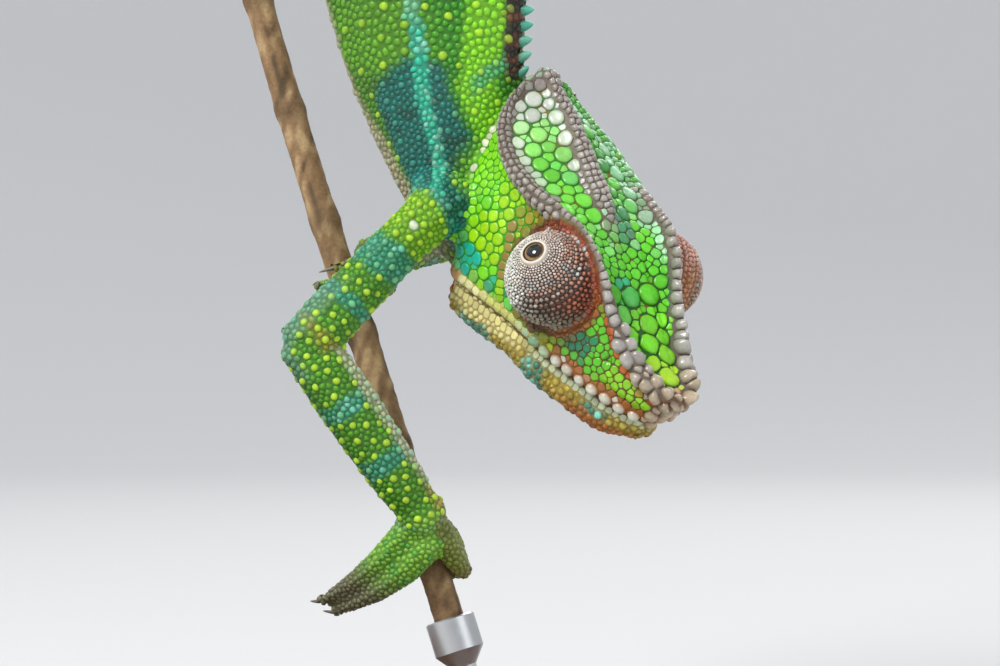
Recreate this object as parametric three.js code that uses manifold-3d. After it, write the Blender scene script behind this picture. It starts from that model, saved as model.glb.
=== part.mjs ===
// A male panther chameleon climbing head first down a thin stem, as a still life-size display
// model. Millimetres, +Z up. The origin is the middle of the stand's underside.
// The animal's back faces +X, its belly and the stem -X, and its right side -Y.
import * as THREE from 'three';
import { mergeVertices } from 'three/addons/utils/BufferGeometryUtils.js';
import Module from 'manifold-3d';

const wasm = await Module();
wasm.setup();

const vec = (x, y, z) => new THREE.Vector3(x, y, z);

// ---------------------------------------------------------------- driving dimensions

// Place of the animal's own frame, a point in its midplane level with the front of the eyes.
const ANIMAL_AT = vec(34, 0, 87);
// Gap between neighbouring solids.
const GAP = 0.3;

// Stand: a flat wooden base, and a steel rod with a cup that holds the stem's lower end.
const BASE = { length: 150, width: 112, height: 12, corner: 22, bevel: 1.6 };
const ROD = {
  radius: 2.2, flangeRadius: 8, flangeHeight: 2.4, flangeBevel: 0.8,
  cupRadius: 4.5, cupDepth: 5, cupWall: 0.9, cupFloor: 1.2, neckLength: 2.8, segments: 12,
};

// Stem: its axis from the cup upwards, in the animal's frame, and its radius at both ends.
const STEM_AXIS = [
  vec(-8.2, 0, -56), vec(-13.0, 0, -41.9), vec(-25.0, 0.4, -6), vec(-36.1, 0, 26.2),
  vec(-46.8, -0.6, 60), vec(-55.6, 0, 92), vec(-61.8, 0.8, 124), vec(-66.4, 0, 158),
  vec(-68.2, -0.6, 190), vec(-68.6, 0, 222), vec(-67.6, 0.5, 247),
];
const STEM = {
  lowRadius: 2.9, topRadius: 2.4, rings: 23, sides: 6, knotEvery: 41, knotSharpness: 24, knotSwell: 0.4,
};

// Head: its middle between the eyes, and how it is held. Lift is the snout's angle up from
// straight down, turn swings it to the animal's right, and roll tips its left side up.
const HEAD_AT = vec(21.1, -6, 7.6);
const HEAD_LIFT = 49.5;
const HEAD_TURN = -28.6;
const HEAD_ROLL = 2.4;

// Skull, in the head's frame: x forward, y to the left, z up. Five lines run along it from the
// casque's tip to the snout, one below the other: the top's midline, then the crest, the side,
// the cheek and the upper lip of the left half.
const SKULL_LINES = {
  top: [
    [-36.0, 20.6], [-34.4, 20.9], [-29.6, 20.0], [-21.8, 18.0], [-14.4, 15.6], [-7.6, 13.7],
    [0.6, 10.0], [8.4, 5.8], [15.0, 2.7], [21.0, 0.4], [25.6, -0.7], [28.5, -2.0],
  ],
  crest: [
    [-35.9, 2.4, 20.0], [-34.0, 6.6, 18.2], [-30.6, 10.2, 15.0], [-23.6, 12.8, 12.4],
    [-14.8, 12.7, 11.6], [-6.8, 11.9, 13.0], [0.6, 11.0, 13.2], [8.4, 9.7, 9.2], [15.0, 8.4, 4.3],
    [21.3, 6.6, 0.8], [26.4, 4.4, -1.0], [28.5, 1.8, -2.4],
  ],
  side: [
    [-33.4, 6.0, 11.0], [-31.6, 9.6, 9.6], [-28.2, 11.2, 8.2], [-21.6, 12.2, 7.0], [-14.0, 11.8, 6.0],
    [-6.6, 11.4, 5.0], [1.0, 10.6, 3.6], [8.4, 9.5, 1.4], [14.8, 8.4, -1.6], [20.8, 6.7, -3.2],
    [25.4, 4.7, -4.2], [27.6, 2.0, -4.8],
  ],
  cheek: [
    [-28.6, 8.0, 0], [-27.4, 12.6, -1.0], [-24.2, 14.8, -2.8], [-18.2, 15.0, -4.0],
    [-11.8, 14.4, -5.0], [-5.2, 13.4, -5.9], [1.8, 12.4, -6.4], [8.6, 10.9, -6.6], [14.8, 9.2, -6.8],
    [20.4, 6.8, -7.0], [24.4, 4.3, -7.4], [26.2, 1.9, -7.6],
  ],
  lip: [
    [-22.6, 9.6, -12.8], [-21.6, 13.8, -13.3], [-19.4, 15.0, -13.3], [-15.2, 14.6, -12.7],
    [-9.9, 13.7, -11.9], [-4.4, 12.8, -11.2], [1.8, 11.9, -10.8], [8.6, 10.6, -10.4],
    [14.6, 8.9, -10.1], [20.0, 6.5, -9.9], [23.8, 4.0, -9.7], [25.4, 1.7, -9.5],
  ],
};
// Lower jaw, rear to front: its edge at the mouth, its widest line below that, and the chin.
const JAW_LINES = {
  lip: [
    [-22.6, 9.6, -13.5], [-21.2, 13.8, -13.8], [-16.6, 14.8, -13.5], [-9.9, 13.7, -12.4],
    [-3.2, 12.6, -11.7], [5.0, 11.2, -11.1], [13.0, 9.0, -10.7], [19.4, 6.4, -10.4],
    [22.8, 4.0, -10.2], [24.5, 1.6, -10.0],
  ],
  side: [
    [-22.0, 9.0, -17.4], [-20.4, 12.4, -18.0], [-15.8, 13.2, -17.8], [-9.6, 12.2, -16.8],
    [-3.0, 11.4, -15.5], [5.0, 10.2, -14.2], [13.0, 8.2, -13.2], [19.4, 5.8, -12.5],
    [22.6, 3.6, -12.0], [24.3, 1.4, -11.4],
  ],
  chin: [
    [-20.0, -21.4], [-17.4, -22.4], [-13.6, -22.0], [-8.4, -20.6], [-2.0, -18.9], [5.4, -17.2],
    [13.0, -15.7], [19.2, -14.2], [22.3, -13.1], [24.0, -12.2],
  ],
};
const HEAD_RINGS = 20;
const JAW_RINGS = 12;

// Eyes: each is a cone-shaped turret of fused lids round a ball, seen through a small opening.
const TURRET = {
  forward: -0.75, out: 12.2, up: 2.3, radius: 8.3, apexRise: 0.55, apexSharpness: 4, mouthAt: 0.925,
  segments: 14, steps: 8, socketSteps: 3,
};
const EYEBALL_RADIUS = 3;
const EYEBALL_SEGMENTS = [10, 6];
const EYE_OPENING_RADIUS = 1.95;
const RIGHT_GAZE = vec(-0.124, -0.782, 0.613);
const LEFT_GAZE = vec(0.34, 0.93, -0.12);
// The socket in the skull that each turret turns in.
const ORBIT = { clear: 0.45, segments: [14, 9] };

// Neck and trunk from the back of the head to the vent: the back's and the belly's line, the
// half width, and the height of the crest of cones along the back. Twist is the share of the
// head's own turn that the section still has.
const SPINE_ROWS = [
  { back: [9.0, 0.2, 34.0], belly: [5.0, 3.6, 7.6], half: 8.5, crest: 0, twist: 1 },
  { back: [6.6, 1.4, 40.0], belly: [-3.4, 8.0, 7.0], half: 11.6, crest: 0, twist: 0.9 },
  { back: [4.8, 1.0, 43.4], belly: [-11.5, 6.0, 13.4], half: 12.6, crest: 0.6, twist: 0.6 },
  { back: [4.2, 0.4, 46.4], belly: [-20.0, 2.6, 26.6], half: 12.0, crest: 1.8, twist: 0.3 },
  { back: [4.4, 0, 51.0], belly: [-28.0, 0.4, 42.0], half: 11.0, crest: 2.6, twist: 0 },
  { back: [5.0, 0, 61.0], belly: [-33.6, 0, 59.0], half: 11.6, crest: 3.0, twist: 0 },
  { back: [6.6, 0, 75.0], belly: [-38.6, 0, 75.0], half: 13.2, crest: 3.0, twist: 0 },
  { back: [7.2, 0, 92.0], belly: [-43.4, 0, 92.0], half: 14.4, crest: 2.8, twist: 0 },
  { back: [4.6, 0, 112.0], belly: [-48.2, 0, 110.0], half: 14.6, crest: 2.5, twist: 0 },
  { back: [-1.6, 0, 132.0], belly: [-52.0, 0, 127.0], half: 13.4, crest: 2.2, twist: 0 },
  { back: [-11.6, 0, 152.0], belly: [-54.4, 0, 142.0], half: 11.6, crest: 1.9, twist: 0 },
  { back: [-24.4, 0, 169.0], belly: [-56.0, 0, 155.0], half: 9.8, crest: 1.6, twist: 0 },
  { back: [-36.8, 0, 182.0], belly: [-58.0, 0, 166.0], half: 8.4, crest: 1.4, twist: 0 },
];
const NECK_ENDS_AT_ROW = 4;
const RINGS_PER_ROW = 2;
// Angles from the back's midline down one side at which a body section has its corners.
const SECTION_ANGLES = [0, 6, 22, 44, 68, 92, 118, 148, 180];

// Tail: it leaves the vent, nears the stem within the approach and then winds up it. Turns keep
// a clear space between them.
const TAIL = {
  length: 238, rootHalf: 8.2, tipRadius: 1.0, taper: 0.72, approach: 62, roundBy: 44, crestShare: 0.4,
  clear: 0.65, turnSpace: 2.6, step: 1.0,
};
// Angle round the stem between one ring of the tail and the next, in radians.
const TAIL_RING_ANGLE = 0.6;
const TAIL_NODES = ['tail_base', 'tail_front', 'tail_middle', 'tail_rear', 'tail_tip'];
const TAIL_SHARES = [0, 0.13, 0.32, 0.53, 0.76, 1];
const TAIL_ANGLES = [0, 45, 90, 135, 180];
// Gap between two lengths of the tail, wide enough where they bend.
const TAIL_GAP = 0.4;

// Limbs: the root joint inside the trunk, the middle joint and the wrist or ankle; radii along
// the upper and the lower length.
const LIMBS = {
  front_right: {
    root: [-5.5, -5, 25.5], outer: [-11, -12.5, 20.5], bend: [-27.4, -23.6, -2.0], end: [-11.6, -9.2, -32.0],
  },
  front_left: {
    root: [-5.5, 5, 27.5], outer: [-8, 13, 26], bend: [-7, 33, 23.5], end: [-28.6, 9.8, 14.4],
  },
  hind_right: {
    root: [-38, -3, 160], outer: [-43, -11, 159], bend: [-52, -38, 148], end: [-64.2, -10.4, 164],
  },
  hind_left: {
    root: [-38, 3, 158], outer: [-43, 11, 156], bend: [-51, 37, 146], end: [-61.4, 10.4, 128],
  },
};
// Heights at which the closed feet hold the stem.
const GRIP_HEIGHT = { front_left: 8.5, hind_right: 167, hind_left: 123 };
const FRONT_RADII = { upper: [6.8, 6.4, 5.9, 5.6, 5.4], lower: [5.3, 5.9, 5.8, 5.2, 4.9] };
const HIND_RADII = { upper: [7.4, 7.0, 6.3, 5.8, 5.4], lower: [5.3, 5.7, 5.4, 4.8, 4.4] };
// How far each length runs on past the middle joint, so that the two fill its corner.
const JOINT_OVERRUN = 2;
const LIMB_SIDES = 8;
const LIMB_SHARES = [0, 0.04, 0.16, 0.38, 0.62, 0.84, 0.96, 1];

// Digits: two and three to a bundle, which hold the stem between them.
const DIGIT = {
  rootRadius: 2.9, tipRadius: 1.35, sides: 6, turns: [30, 64, 98, 138], pitch: 2.6, spread: 3.2,
};
const OPEN_HAND_ROOT_RADIUS = 3.9;
const DIGIT_SHARES = [0, 0.1, 0.36, 0.64, 0.92, 1];
const CLAW = {
  radius: 0.85, length: 3.4, tipRadius: 0.16, sides: 4, shares: [0, 0.5, 1], bend: 38, gap: 0.05,
};

// ---------------------------------------------------------------- materials

function finish(color, roughness, metalness = 0) {
  return new THREE.MeshStandardMaterial({ color, roughness, metalness });
}

const MATERIALS = {
  head_skin: finish(0x4fc72a, 0.45),
  body_skin: finish(0x3f9a3a, 0.55),
  lid_skin: finish(0xb4a79a, 0.45),
  eyeball: finish(0x2a1a0c, 0.08),
  claw: finish(0x6b6a55, 0.4),
  stem_bark: finish(0x8a6a48, 0.8),
  base_wood: finish(0x4a2f1d, 0.4),
  steel: finish(0xb8bcc0, 0.3, 1),
};

// ---------------------------------------------------------------- solids

function signedVolume(points, index) {
  let volume = 0;
  for (let i = 0; i < index.length; i += 3) {
    const [a, b, c] = [points[index[i]], points[index[i + 1]], points[index[i + 2]]];
    volume += a.dot(vec().crossVectors(b, c)) / 6;
  }
  return volume;
}

const middle = (points) => points.reduce((sum, p) => sum.add(p), vec(0, 0, 0)).divideScalar(points.length);

// A closed body through a row of rings, each with the same number of corners.
function loft(rings) {
  const sides = rings[0].length;
  const points = [middle(rings[0]), ...rings.flat(), middle(rings.at(-1))];
  const last = points.length - 1;
  const at = (ring, side) => 1 + ring * sides + (side % sides);
  const index = [];
  for (let side = 0; side < sides; side++) {
    index.push(0, at(0, side + 1), at(0, side));
    index.push(last, at(rings.length - 1, side), at(rings.length - 1, side + 1));
    for (let ring = 0; ring < rings.length - 1; ring++) {
      index.push(at(ring, side), at(ring, side + 1), at(ring + 1, side + 1));
      index.push(at(ring, side), at(ring + 1, side + 1), at(ring + 1, side));
    }
  }
  if (signedVolume(points, index) < 0) index.reverse();
  return new THREE.BufferGeometry().setFromPoints(points).setIndex(index);
}

// The same body with each shared corner held once.
function merged(geometry) {
  const bare = geometry.clone();
  bare.deleteAttribute('normal');
  bare.deleteAttribute('uv');
  return mergeVertices(bare, 1e-4);
}

// The same body with its surface moved out by a distance.
function swell(geometry, distance) {
  const grown = merged(geometry);
  grown.computeVertexNormals();
  const { position, normal } = grown.attributes;
  const point = vec();
  const out = vec();
  for (let i = 0; i < position.count; i++) {
    point.fromBufferAttribute(position, i).addScaledVector(out.fromBufferAttribute(normal, i), distance);
    position.setXYZ(i, point.x, point.y, point.z);
  }
  return grown;
}

function toManifold(geometry) {
  const closed = merged(geometry);
  const mesh = new wasm.Mesh({
    numProp: 3,
    vertProperties: Float32Array.from(closed.attributes.position.array),
    triVerts: Uint32Array.from(closed.index.array),
  });
  return new wasm.Manifold(mesh);
}

function toGeometry(manifold) {
  const mesh = manifold.getMesh();
  const geometry = new THREE.BufferGeometry();
  geometry.setAttribute('position', new THREE.BufferAttribute(Float32Array.from(mesh.vertProperties), 3));
  geometry.setIndex(new THREE.BufferAttribute(Uint32Array.from(mesh.triVerts), 1));
  return geometry;
}

function join(geometries) {
  return toGeometry(geometries.map(toManifold).reduce((whole, piece) => whole.add(piece)));
}

// A body less its neighbours, each grown by the gap, so that they meet and don't overlap.
function fitAgainst(geometry, neighbours, gap = GAP) {
  let rest = toManifold(geometry);
  for (const neighbour of neighbours) rest = rest.subtract(toManifold(swell(neighbour, gap)));
  const pieces = rest.decompose().sort((a, b) => b.volume() - a.volume());
  return toGeometry(pieces[0]);
}

// ---------------------------------------------------------------- curves

const curveThrough = (points) => new THREE.CatmullRomCurve3(points, false, 'centripetal');

// A smooth value at share t of an evenly spaced list.
function blend(values, t) {
  const place = THREE.MathUtils.clamp(t, 0, 1) * (values.length - 1);
  const low = Math.min(Math.floor(place), values.length - 2);
  return THREE.MathUtils.lerp(values[low], values[low + 1], place - low);
}

// Factors that round off a tube's first and last two rings.
const ROUNDING = [0.5, 0.86];

// A round tube along a curve, with a ring at each share and a radius that is a function of it.
function tube(curve, radiusAt, shares, sides, rounded = true) {
  const fine = 200;
  const frames = curve.computeFrenetFrames(fine, false);
  const rings = shares.map((t, ring) => {
    const fromEnd = Math.min(ring, shares.length - 1 - ring);
    const radius = radiusAt(t) * (rounded && fromEnd < ROUNDING.length ? ROUNDING[fromEnd] : 1);
    const frame = Math.round(t * fine);
    const centre = curve.getPointAt(t);
    return Array.from({ length: sides }, (_, side) => {
      const angle = (side / sides) * Math.PI * 2;
      return centre.clone()
        .addScaledVector(frames.normals[frame], Math.cos(angle) * radius)
        .addScaledVector(frames.binormals[frame], Math.sin(angle) * radius);
    });
  });
  return loft(rings);
}

const evenShares = (count) => Array.from({ length: count }, (_, i) => i / (count - 1));

// ---------------------------------------------------------------- head

// Axes of the head in the animal's frame.
function headAxes() {
  const lift = THREE.MathUtils.degToRad(HEAD_LIFT);
  const turn = THREE.MathUtils.degToRad(HEAD_TURN);
  const forward = vec(Math.sin(lift), 0, -Math.cos(lift)).applyAxisAngle(vec(0, 0, 1), turn);
  const left = vec(0, 1, 0).applyAxisAngle(vec(0, 0, 1), turn);
  left.applyAxisAngle(forward, THREE.MathUtils.degToRad(HEAD_ROLL));
  return { forward, left, up: vec().crossVectors(forward, left) };
}

const HEAD = headAxes();
const HEAD_MATRIX = new THREE.Matrix4().makeBasis(HEAD.forward, HEAD.left, HEAD.up).setPosition(HEAD_AT);

// A line through listed points, where a pair is a point of the midline.
const lineOf = (points) => curveThrough(points.map((p) => (p.length === 2 ? vec(p[0], 0, p[1]) : vec(...p))));

// One closed section from the points of its left half, midline to midline.
function mirrored(half) {
  const right = half.slice(1, -1).reverse().map((p) => vec(p.x, -p.y, p.z));
  return [...half, ...right];
}

function skull() {
  const lines = Object.values(SKULL_LINES).map(lineOf);
  const rings = [];
  for (let ring = 0; ring < HEAD_RINGS; ring++) {
    const t = ring / (HEAD_RINGS - 1);
    const [top, crest, side, cheek, lip] = lines.map((line) => line.getPoint(t));
    const swing = crest.y * 0.12;
    const half = [
      top,
      top.clone().lerp(crest, 0.36).add(vec(0, 0, -0.25)),
      top.clone().lerp(crest, 0.7).add(vec(0, 0, -0.35)),
      crest.clone().add(vec(0, -swing, 0.1)),
      crest,
      crest.clone().lerp(side, 0.24).add(vec(0, swing * 0.5, 0)),
      crest.clone().lerp(side, 0.62).add(vec(0, -0.2, 0)),
      side,
      side.clone().lerp(cheek, 0.5).add(vec(0, 0.7, 0)),
      cheek,
      cheek.clone().lerp(lip, 0.5).add(vec(0, 0.35, 0)),
      lip,
      vec(lip.x, lip.y * 0.5, lip.z),
      vec(lip.x, 0, lip.z),
    ];
    rings.push(mirrored(half));
  }
  return loft(rings);
}

function lowerJaw() {
  const lines = Object.values(JAW_LINES).map(lineOf);
  const rings = [];
  for (let ring = 0; ring < JAW_RINGS; ring++) {
    const t = ring / (JAW_RINGS - 1);
    const [lip, side, chin] = lines.map((line) => line.getPoint(t));
    const half = [
      vec(lip.x, 0, lip.z),
      vec(lip.x, lip.y * 0.6, lip.z),
      lip,
      lip.clone().lerp(side, 0.5).add(vec(0, 0.35, 0)),
      side,
      side.clone().lerp(chin, 0.3).add(vec(0, 0.5, -0.9)),
      side.clone().lerp(chin, 0.65).add(vec(0, 0.3, -0.9)),
      chin,
    ];
    rings.push(mirrored(half));
  }
  return loft(rings);
}

// Half outline of a turret, from its inner pole round to the opening and down into the ball's
// socket, as radius and distance along the gaze.
function turretProfile() {
  const apex = TURRET.radius + TURRET.apexRise;
  const ballAt = apex - Math.sqrt(EYEBALL_RADIUS ** 2 - EYE_OPENING_RADIUS ** 2);
  const socket = EYEBALL_RADIUS + GAP;
  const profile = [];
  const { steps, socketSteps } = TURRET;
  for (let i = 0; i <= steps; i++) {
    const angle = Math.PI * (1 - (i / steps) * TURRET.mouthAt);
    const radius = TURRET.radius + TURRET.apexRise * Math.max(0, Math.cos(angle)) ** TURRET.apexSharpness;
    profile.push(new THREE.Vector2(radius * Math.sin(angle), radius * Math.cos(angle)));
  }
  const rim = Math.asin((EYE_OPENING_RADIUS + GAP) / socket);
  for (let i = 0; i <= socketSteps; i++) {
    const angle = THREE.MathUtils.lerp(rim, Math.PI, i / socketSteps);
    profile.push(new THREE.Vector2(socket * Math.sin(angle), ballAt + socket * Math.cos(angle)));
  }
  profile[0].x = 0;
  profile.at(-1).x = 0;
  return { profile, ballAt };
}

function alongGaze(geometry, side, gaze) {
  const turn = new THREE.Quaternion().setFromUnitVectors(vec(0, 1, 0), gaze.clone().normalize());
  geometry.applyQuaternion(turn);
  geometry.translate(TURRET.forward, side * TURRET.out, TURRET.up);
  return geometry;
}

function turret(side, gaze) {
  const cone = new THREE.LatheGeometry(turretProfile().profile, TURRET.segments);
  return alongGaze(cone, side, gaze);
}

function eyeball(side, gaze) {
  const ball = new THREE.SphereGeometry(EYEBALL_RADIUS, ...EYEBALL_SEGMENTS);
  ball.translate(0, turretProfile().ballAt, 0);
  return alongGaze(ball, side, gaze);
}

// The full sphere that a turret turns in, which the skull leaves free.
function orbit(side) {
  const ball = new THREE.SphereGeometry(TURRET.radius + ORBIT.clear, ...ORBIT.segments);
  ball.translate(TURRET.forward, side * TURRET.out, TURRET.up);
  return ball;
}

// ---------------------------------------------------------------- neck, trunk and tail

const BODY_AXIS = vec(0, 1, 0);

// A section of the body between its back and its belly, with the crest at the back's midline.
function bodyRing({ back, belly, half, crest, side }) {
  const centre = back.clone().add(belly).multiplyScalar(0.5);
  const rise = back.clone().sub(belly).multiplyScalar(0.5);
  const point = (angle) => {
    const width = half * Math.sin(angle) * (1 - 0.16 * Math.cos(angle));
    return centre.clone().addScaledVector(rise, Math.cos(angle)).addScaledVector(side, width);
  };
  const angles = SECTION_ANGLES.map((degrees) => THREE.MathUtils.degToRad(degrees));
  const ring = angles.map(point);
  ring[0].addScaledVector(rise.clone().normalize(), crest);
  ring.push(...angles.slice(1, -1).reverse().map((angle) => point(-angle)));
  return ring;
}

function spineRings(firstRow, lastRow, trimStart, trimEnd) {
  const values = (name) => SPINE_ROWS.map((row) => row[name]);
  const backs = lineOf(values('back'));
  const bellies = lineOf(values('belly'));
  const count = (lastRow - firstRow) * RINGS_PER_ROW + 1;
  const rows = SPINE_ROWS.length - 1;
  return Array.from({ length: count }, (_, ring) => {
    let row = firstRow + ring / RINGS_PER_ROW;
    if (ring === 0) row += trimStart;
    if (ring === count - 1) row -= trimEnd;
    const t = row / rows;
    const side = BODY_AXIS.clone().lerp(HEAD.left, blend(values('twist'), t)).normalize();
    return bodyRing({
      back: backs.getPoint(t),
      belly: bellies.getPoint(t),
      half: smoothBlend(values('half'), t),
      crest: blend(values('crest'), t),
      side,
    });
  });
}

// A smooth value through an evenly spaced list.
function smoothBlend(values, t) {
  const curve = new THREE.SplineCurve(values.map((value, i) => new THREE.Vector2(i, value)));
  return curve.getPoint(THREE.MathUtils.clamp(t, 0, 1)).y;
}

const STEM_CURVE = curveThrough(STEM_AXIS);

// The point of the stem's axis at a height.
function stemAt(height) {
  let [low, high] = [0, 1];
  for (let i = 0; i < 40; i++) {
    const mid = (low + high) / 2;
    if (STEM_CURVE.getPointAt(mid).z < height) low = mid;
    else high = mid;
  }
  return STEM_CURVE.getPointAt(low);
}

function stemRadius(height) {
  const share = (height - STEM_AXIS[0].z) / (STEM_AXIS.at(-1).z - STEM_AXIS[0].z);
  return THREE.MathUtils.lerp(STEM.lowRadius, STEM.topRadius, share);
}

function tailRadius(length) {
  const share = length / TAIL.length;
  return THREE.MathUtils.lerp(TAIL.rootHalf, TAIL.tipRadius, share ** TAIL.taper);
}

const VENT = SPINE_ROWS.at(-1);
const VENT_HALF_HEIGHT = vec(...VENT.back).distanceTo(vec(...VENT.belly)) / 2;

// Half the tail's height, which eases from the vent's tall oval to round.
function tailHalfHeight(length) {
  const roundness = THREE.MathUtils.smoothstep(length, 0, TAIL.roundBy);
  return THREE.MathUtils.lerp(VENT_HALF_HEIGHT, tailRadius(length), roundness);
}

// The tail's middle line: it closes in on the stem, then winds up round it a turn at a time.
function tailLine() {
  const centreOf = (row) => middle([vec(...row.back), vec(...row.belly)]);
  const start = centreOf(VENT);
  const heading = start.clone().sub(centreOf(SPINE_ROWS.at(-2))).normalize();
  const points = [start.clone()];
  const offset = start.clone().sub(stemAt(start.z));
  let angle = Math.atan2(offset.y, offset.x);
  let reach = Math.hypot(offset.x, offset.y);
  let height = start.z;
  for (let length = TAIL.step; length <= TAIL.length; length += TAIL.step) {
    const radius = tailRadius(length);
    const closing = THREE.MathUtils.smoothstep(length, 0, TAIL.approach);
    const contact = stemRadius(height) + tailHalfHeight(length) + TAIL.clear;
    const turnRise = (2 * radius + TAIL.turnSpace) / (2 * Math.PI * contact);
    const steepness = THREE.MathUtils.lerp(heading.z, turnRise, closing);
    const inward = THREE.MathUtils.lerp(heading.x, 0, closing);
    const nextReach = Math.max(contact, reach + inward * TAIL.step);
    const around = Math.sqrt(Math.max(0.02, 1 - steepness ** 2 - inward ** 2));
    const winding = THREE.MathUtils.smoothstep(length, 0, TAIL.approach * 0.8);
    reach = THREE.MathUtils.lerp(nextReach, contact, closing * 0.25);
    angle += (around * TAIL.step * winding) / reach;
    height += steepness * TAIL.step;
    points.push(stemAt(height).add(vec(Math.cos(angle) * reach, Math.sin(angle) * reach, 0)));
  }
  return points;
}

// Rings along the tail, closer together where it winds tighter.
function tailRings() {
  const line = curveThrough(tailLine().filter((_, i) => i % 2 === 0));
  const total = line.getLength();
  const lengths = [0];
  while (lengths.at(-1) < total) {
    const length = lengths.at(-1);
    const reach = STEM.lowRadius + tailRadius(Math.min(length, TAIL.length));
    lengths.push(length + TAIL_RING_ANGLE * reach);
  }
  lengths[lengths.length - 1] = total;
  let up = vec(...VENT.back).sub(vec(...VENT.belly)).normalize();
  const ventFacing = vec().crossVectors(up, BODY_AXIS).normalize();
  const ringAngles = TAIL_ANGLES.concat(TAIL_ANGLES.slice(1, -1).reverse().map((degrees) => -degrees));
  return lengths.map((length, i) => {
    const t = length / total;
    const tangent = i === 0 ? ventFacing : line.getTangentAt(t);
    up = up.clone().addScaledVector(tangent, -up.dot(tangent)).normalize();
    const side = vec().crossVectors(up, tangent).normalize();
    const along = t * TAIL.length;
    const crest = VENT.crest * (1 - THREE.MathUtils.smoothstep(t, 0, TAIL.crestShare));
    const centre = line.getPointAt(t);
    return ringAngles.map((degrees) => {
      const angle = THREE.MathUtils.degToRad(degrees);
      const rise = Math.cos(angle) * tailHalfHeight(along) + (degrees === 0 ? crest : 0);
      const out = -Math.sin(angle) * tailRadius(along);
      return centre.clone().addScaledVector(up, rise).addScaledVector(side, out);
    });
  });
}

// ---------------------------------------------------------------- limbs

function limbLengths(limb, radii) {
  const [root, outer, bend, end] = [limb.root, limb.outer, limb.bend, limb.end].map((p) => vec(...p));
  const past = (from) => bend.clone().addScaledVector(bend.clone().sub(from).normalize(), JOINT_OVERRUN);
  const upperCurve = curveThrough([root, outer, outer.clone().lerp(bend, 0.55), past(outer)]);
  const lowerCurve = curveThrough([past(end), bend.clone().lerp(end, 0.4), end]);
  return {
    upper: tube(upperCurve, (t) => blend(radii.upper, t), LIMB_SHARES, LIMB_SIDES),
    lower: tube(lowerCurve, (t) => blend(radii.lower, t), LIMB_SHARES, LIMB_SIDES),
  };
}

// ---------------------------------------------------------------- feet

const digitRadius = (t, root = DIGIT.rootRadius) => THREE.MathUtils.lerp(root, DIGIT.tipRadius, t);

function digit(line, root) {
  return tube(curveThrough(line), (t) => digitRadius(t, root), DIGIT_SHARES, DIGIT.sides);
}

// The lines of one bundle's digits, which part at the palm and bend round the stem. Turn is +1
// or -1 for the way round, and count is the number of digits.
function grippingLines(wrist, height, turn, count) {
  const centre = stemAt(height);
  const along = stemAt(height + 3).sub(stemAt(height - 3)).normalize();
  const out = wrist.clone().sub(centre);
  out.addScaledVector(along, -out.dot(along)).normalize();
  const round = vec().crossVectors(along, out).multiplyScalar(turn);
  return Array.from({ length: count }, (_, digitIndex) => {
    const place = digitIndex - (count - 1) / 2;
    const line = DIGIT.turns.map((degrees, i) => {
      const angle = THREE.MathUtils.degToRad(degrees);
      const share = (i + 1) / DIGIT.turns.length;
      const lift = i === 0 ? 1.2 : 0;
      const radius = stemRadius(height) + STEM.knotSwell + digitRadius(share) + GAP + lift;
      return centre.clone()
        .addScaledVector(out, Math.cos(angle) * radius)
        .addScaledVector(round, Math.sin(angle) * radius)
        .addScaledVector(along, place * THREE.MathUtils.lerp(DIGIT.pitch, DIGIT.spread, share));
    });
    const heel = wrist.clone().addScaledVector(round, 1.8).addScaledVector(along, place * 1.4);
    return [heel, ...line];
  });
}

// The right forefoot is half open: two digits reach across in front of the stem, and three
// hold its far side.
function openOuterLines() {
  const upperDigit = [
    [-12.4, -9.6, -33.4], [-18.0, -8.4, -39.4], [-23.5, -7.2, -43.6],
    [-28.3, -6.0, -46.4], [-32.2, -4.8, -48.2],
  ];
  const lowerDigit = [
    [-9.0, -8.8, -36.2], [-13.9, -7.8, -41.3], [-19.2, -7.0, -45.2],
    [-24.3, -5.6, -48.2], [-29.4, -4.2, -50.2],
  ];
  return [upperDigit, lowerDigit].map((line) => line.map((p) => vec(...p)));
}

function openInnerLines() {
  const along = stemAt(-38).sub(stemAt(-46)).normalize();
  return [-1, 0, 1].map((place) => {
    const shifted = (x, y, z, share) => vec(x, y, z).addScaledVector(along, place * DIGIT.pitch * share);
    return [
      shifted(-9.4, -7.4, -33.8, 0.4),
      shifted(-8.4, -4.6, -37.6, 0.8),
      shifted(-8.0, 0.4, -40.2, 0.9),
      shifted(-10.0, 4.4, -41.2, 1.0),
      shifted(-14.2, 5.2, -40.8, 1.1),
    ];
  });
}

// A claw carries on from its digit's end and hooks towards the sole.
function claw(line) {
  const curve = curveThrough(line);
  const tip = line.at(-1);
  const heading = curve.getTangentAt(1);
  const before = curve.getTangentAt(0.7);
  const inward = heading.clone().sub(before).normalize();
  const points = [0, 0.33, 0.66, 1].map((share) => {
    const angle = THREE.MathUtils.degToRad(CLAW.bend) * share;
    return tip.clone()
      .addScaledVector(heading, (CLAW.length * share + 0.4) * Math.cos(angle / 2))
      .addScaledVector(inward, CLAW.length * share * Math.sin(angle / 2) - 0.1);
  });
  const taper = (t) => Math.max(CLAW.tipRadius, CLAW.radius * (1 - t));
  return tube(curveThrough(points), taper, CLAW.shares, CLAW.sides, false);
}

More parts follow.
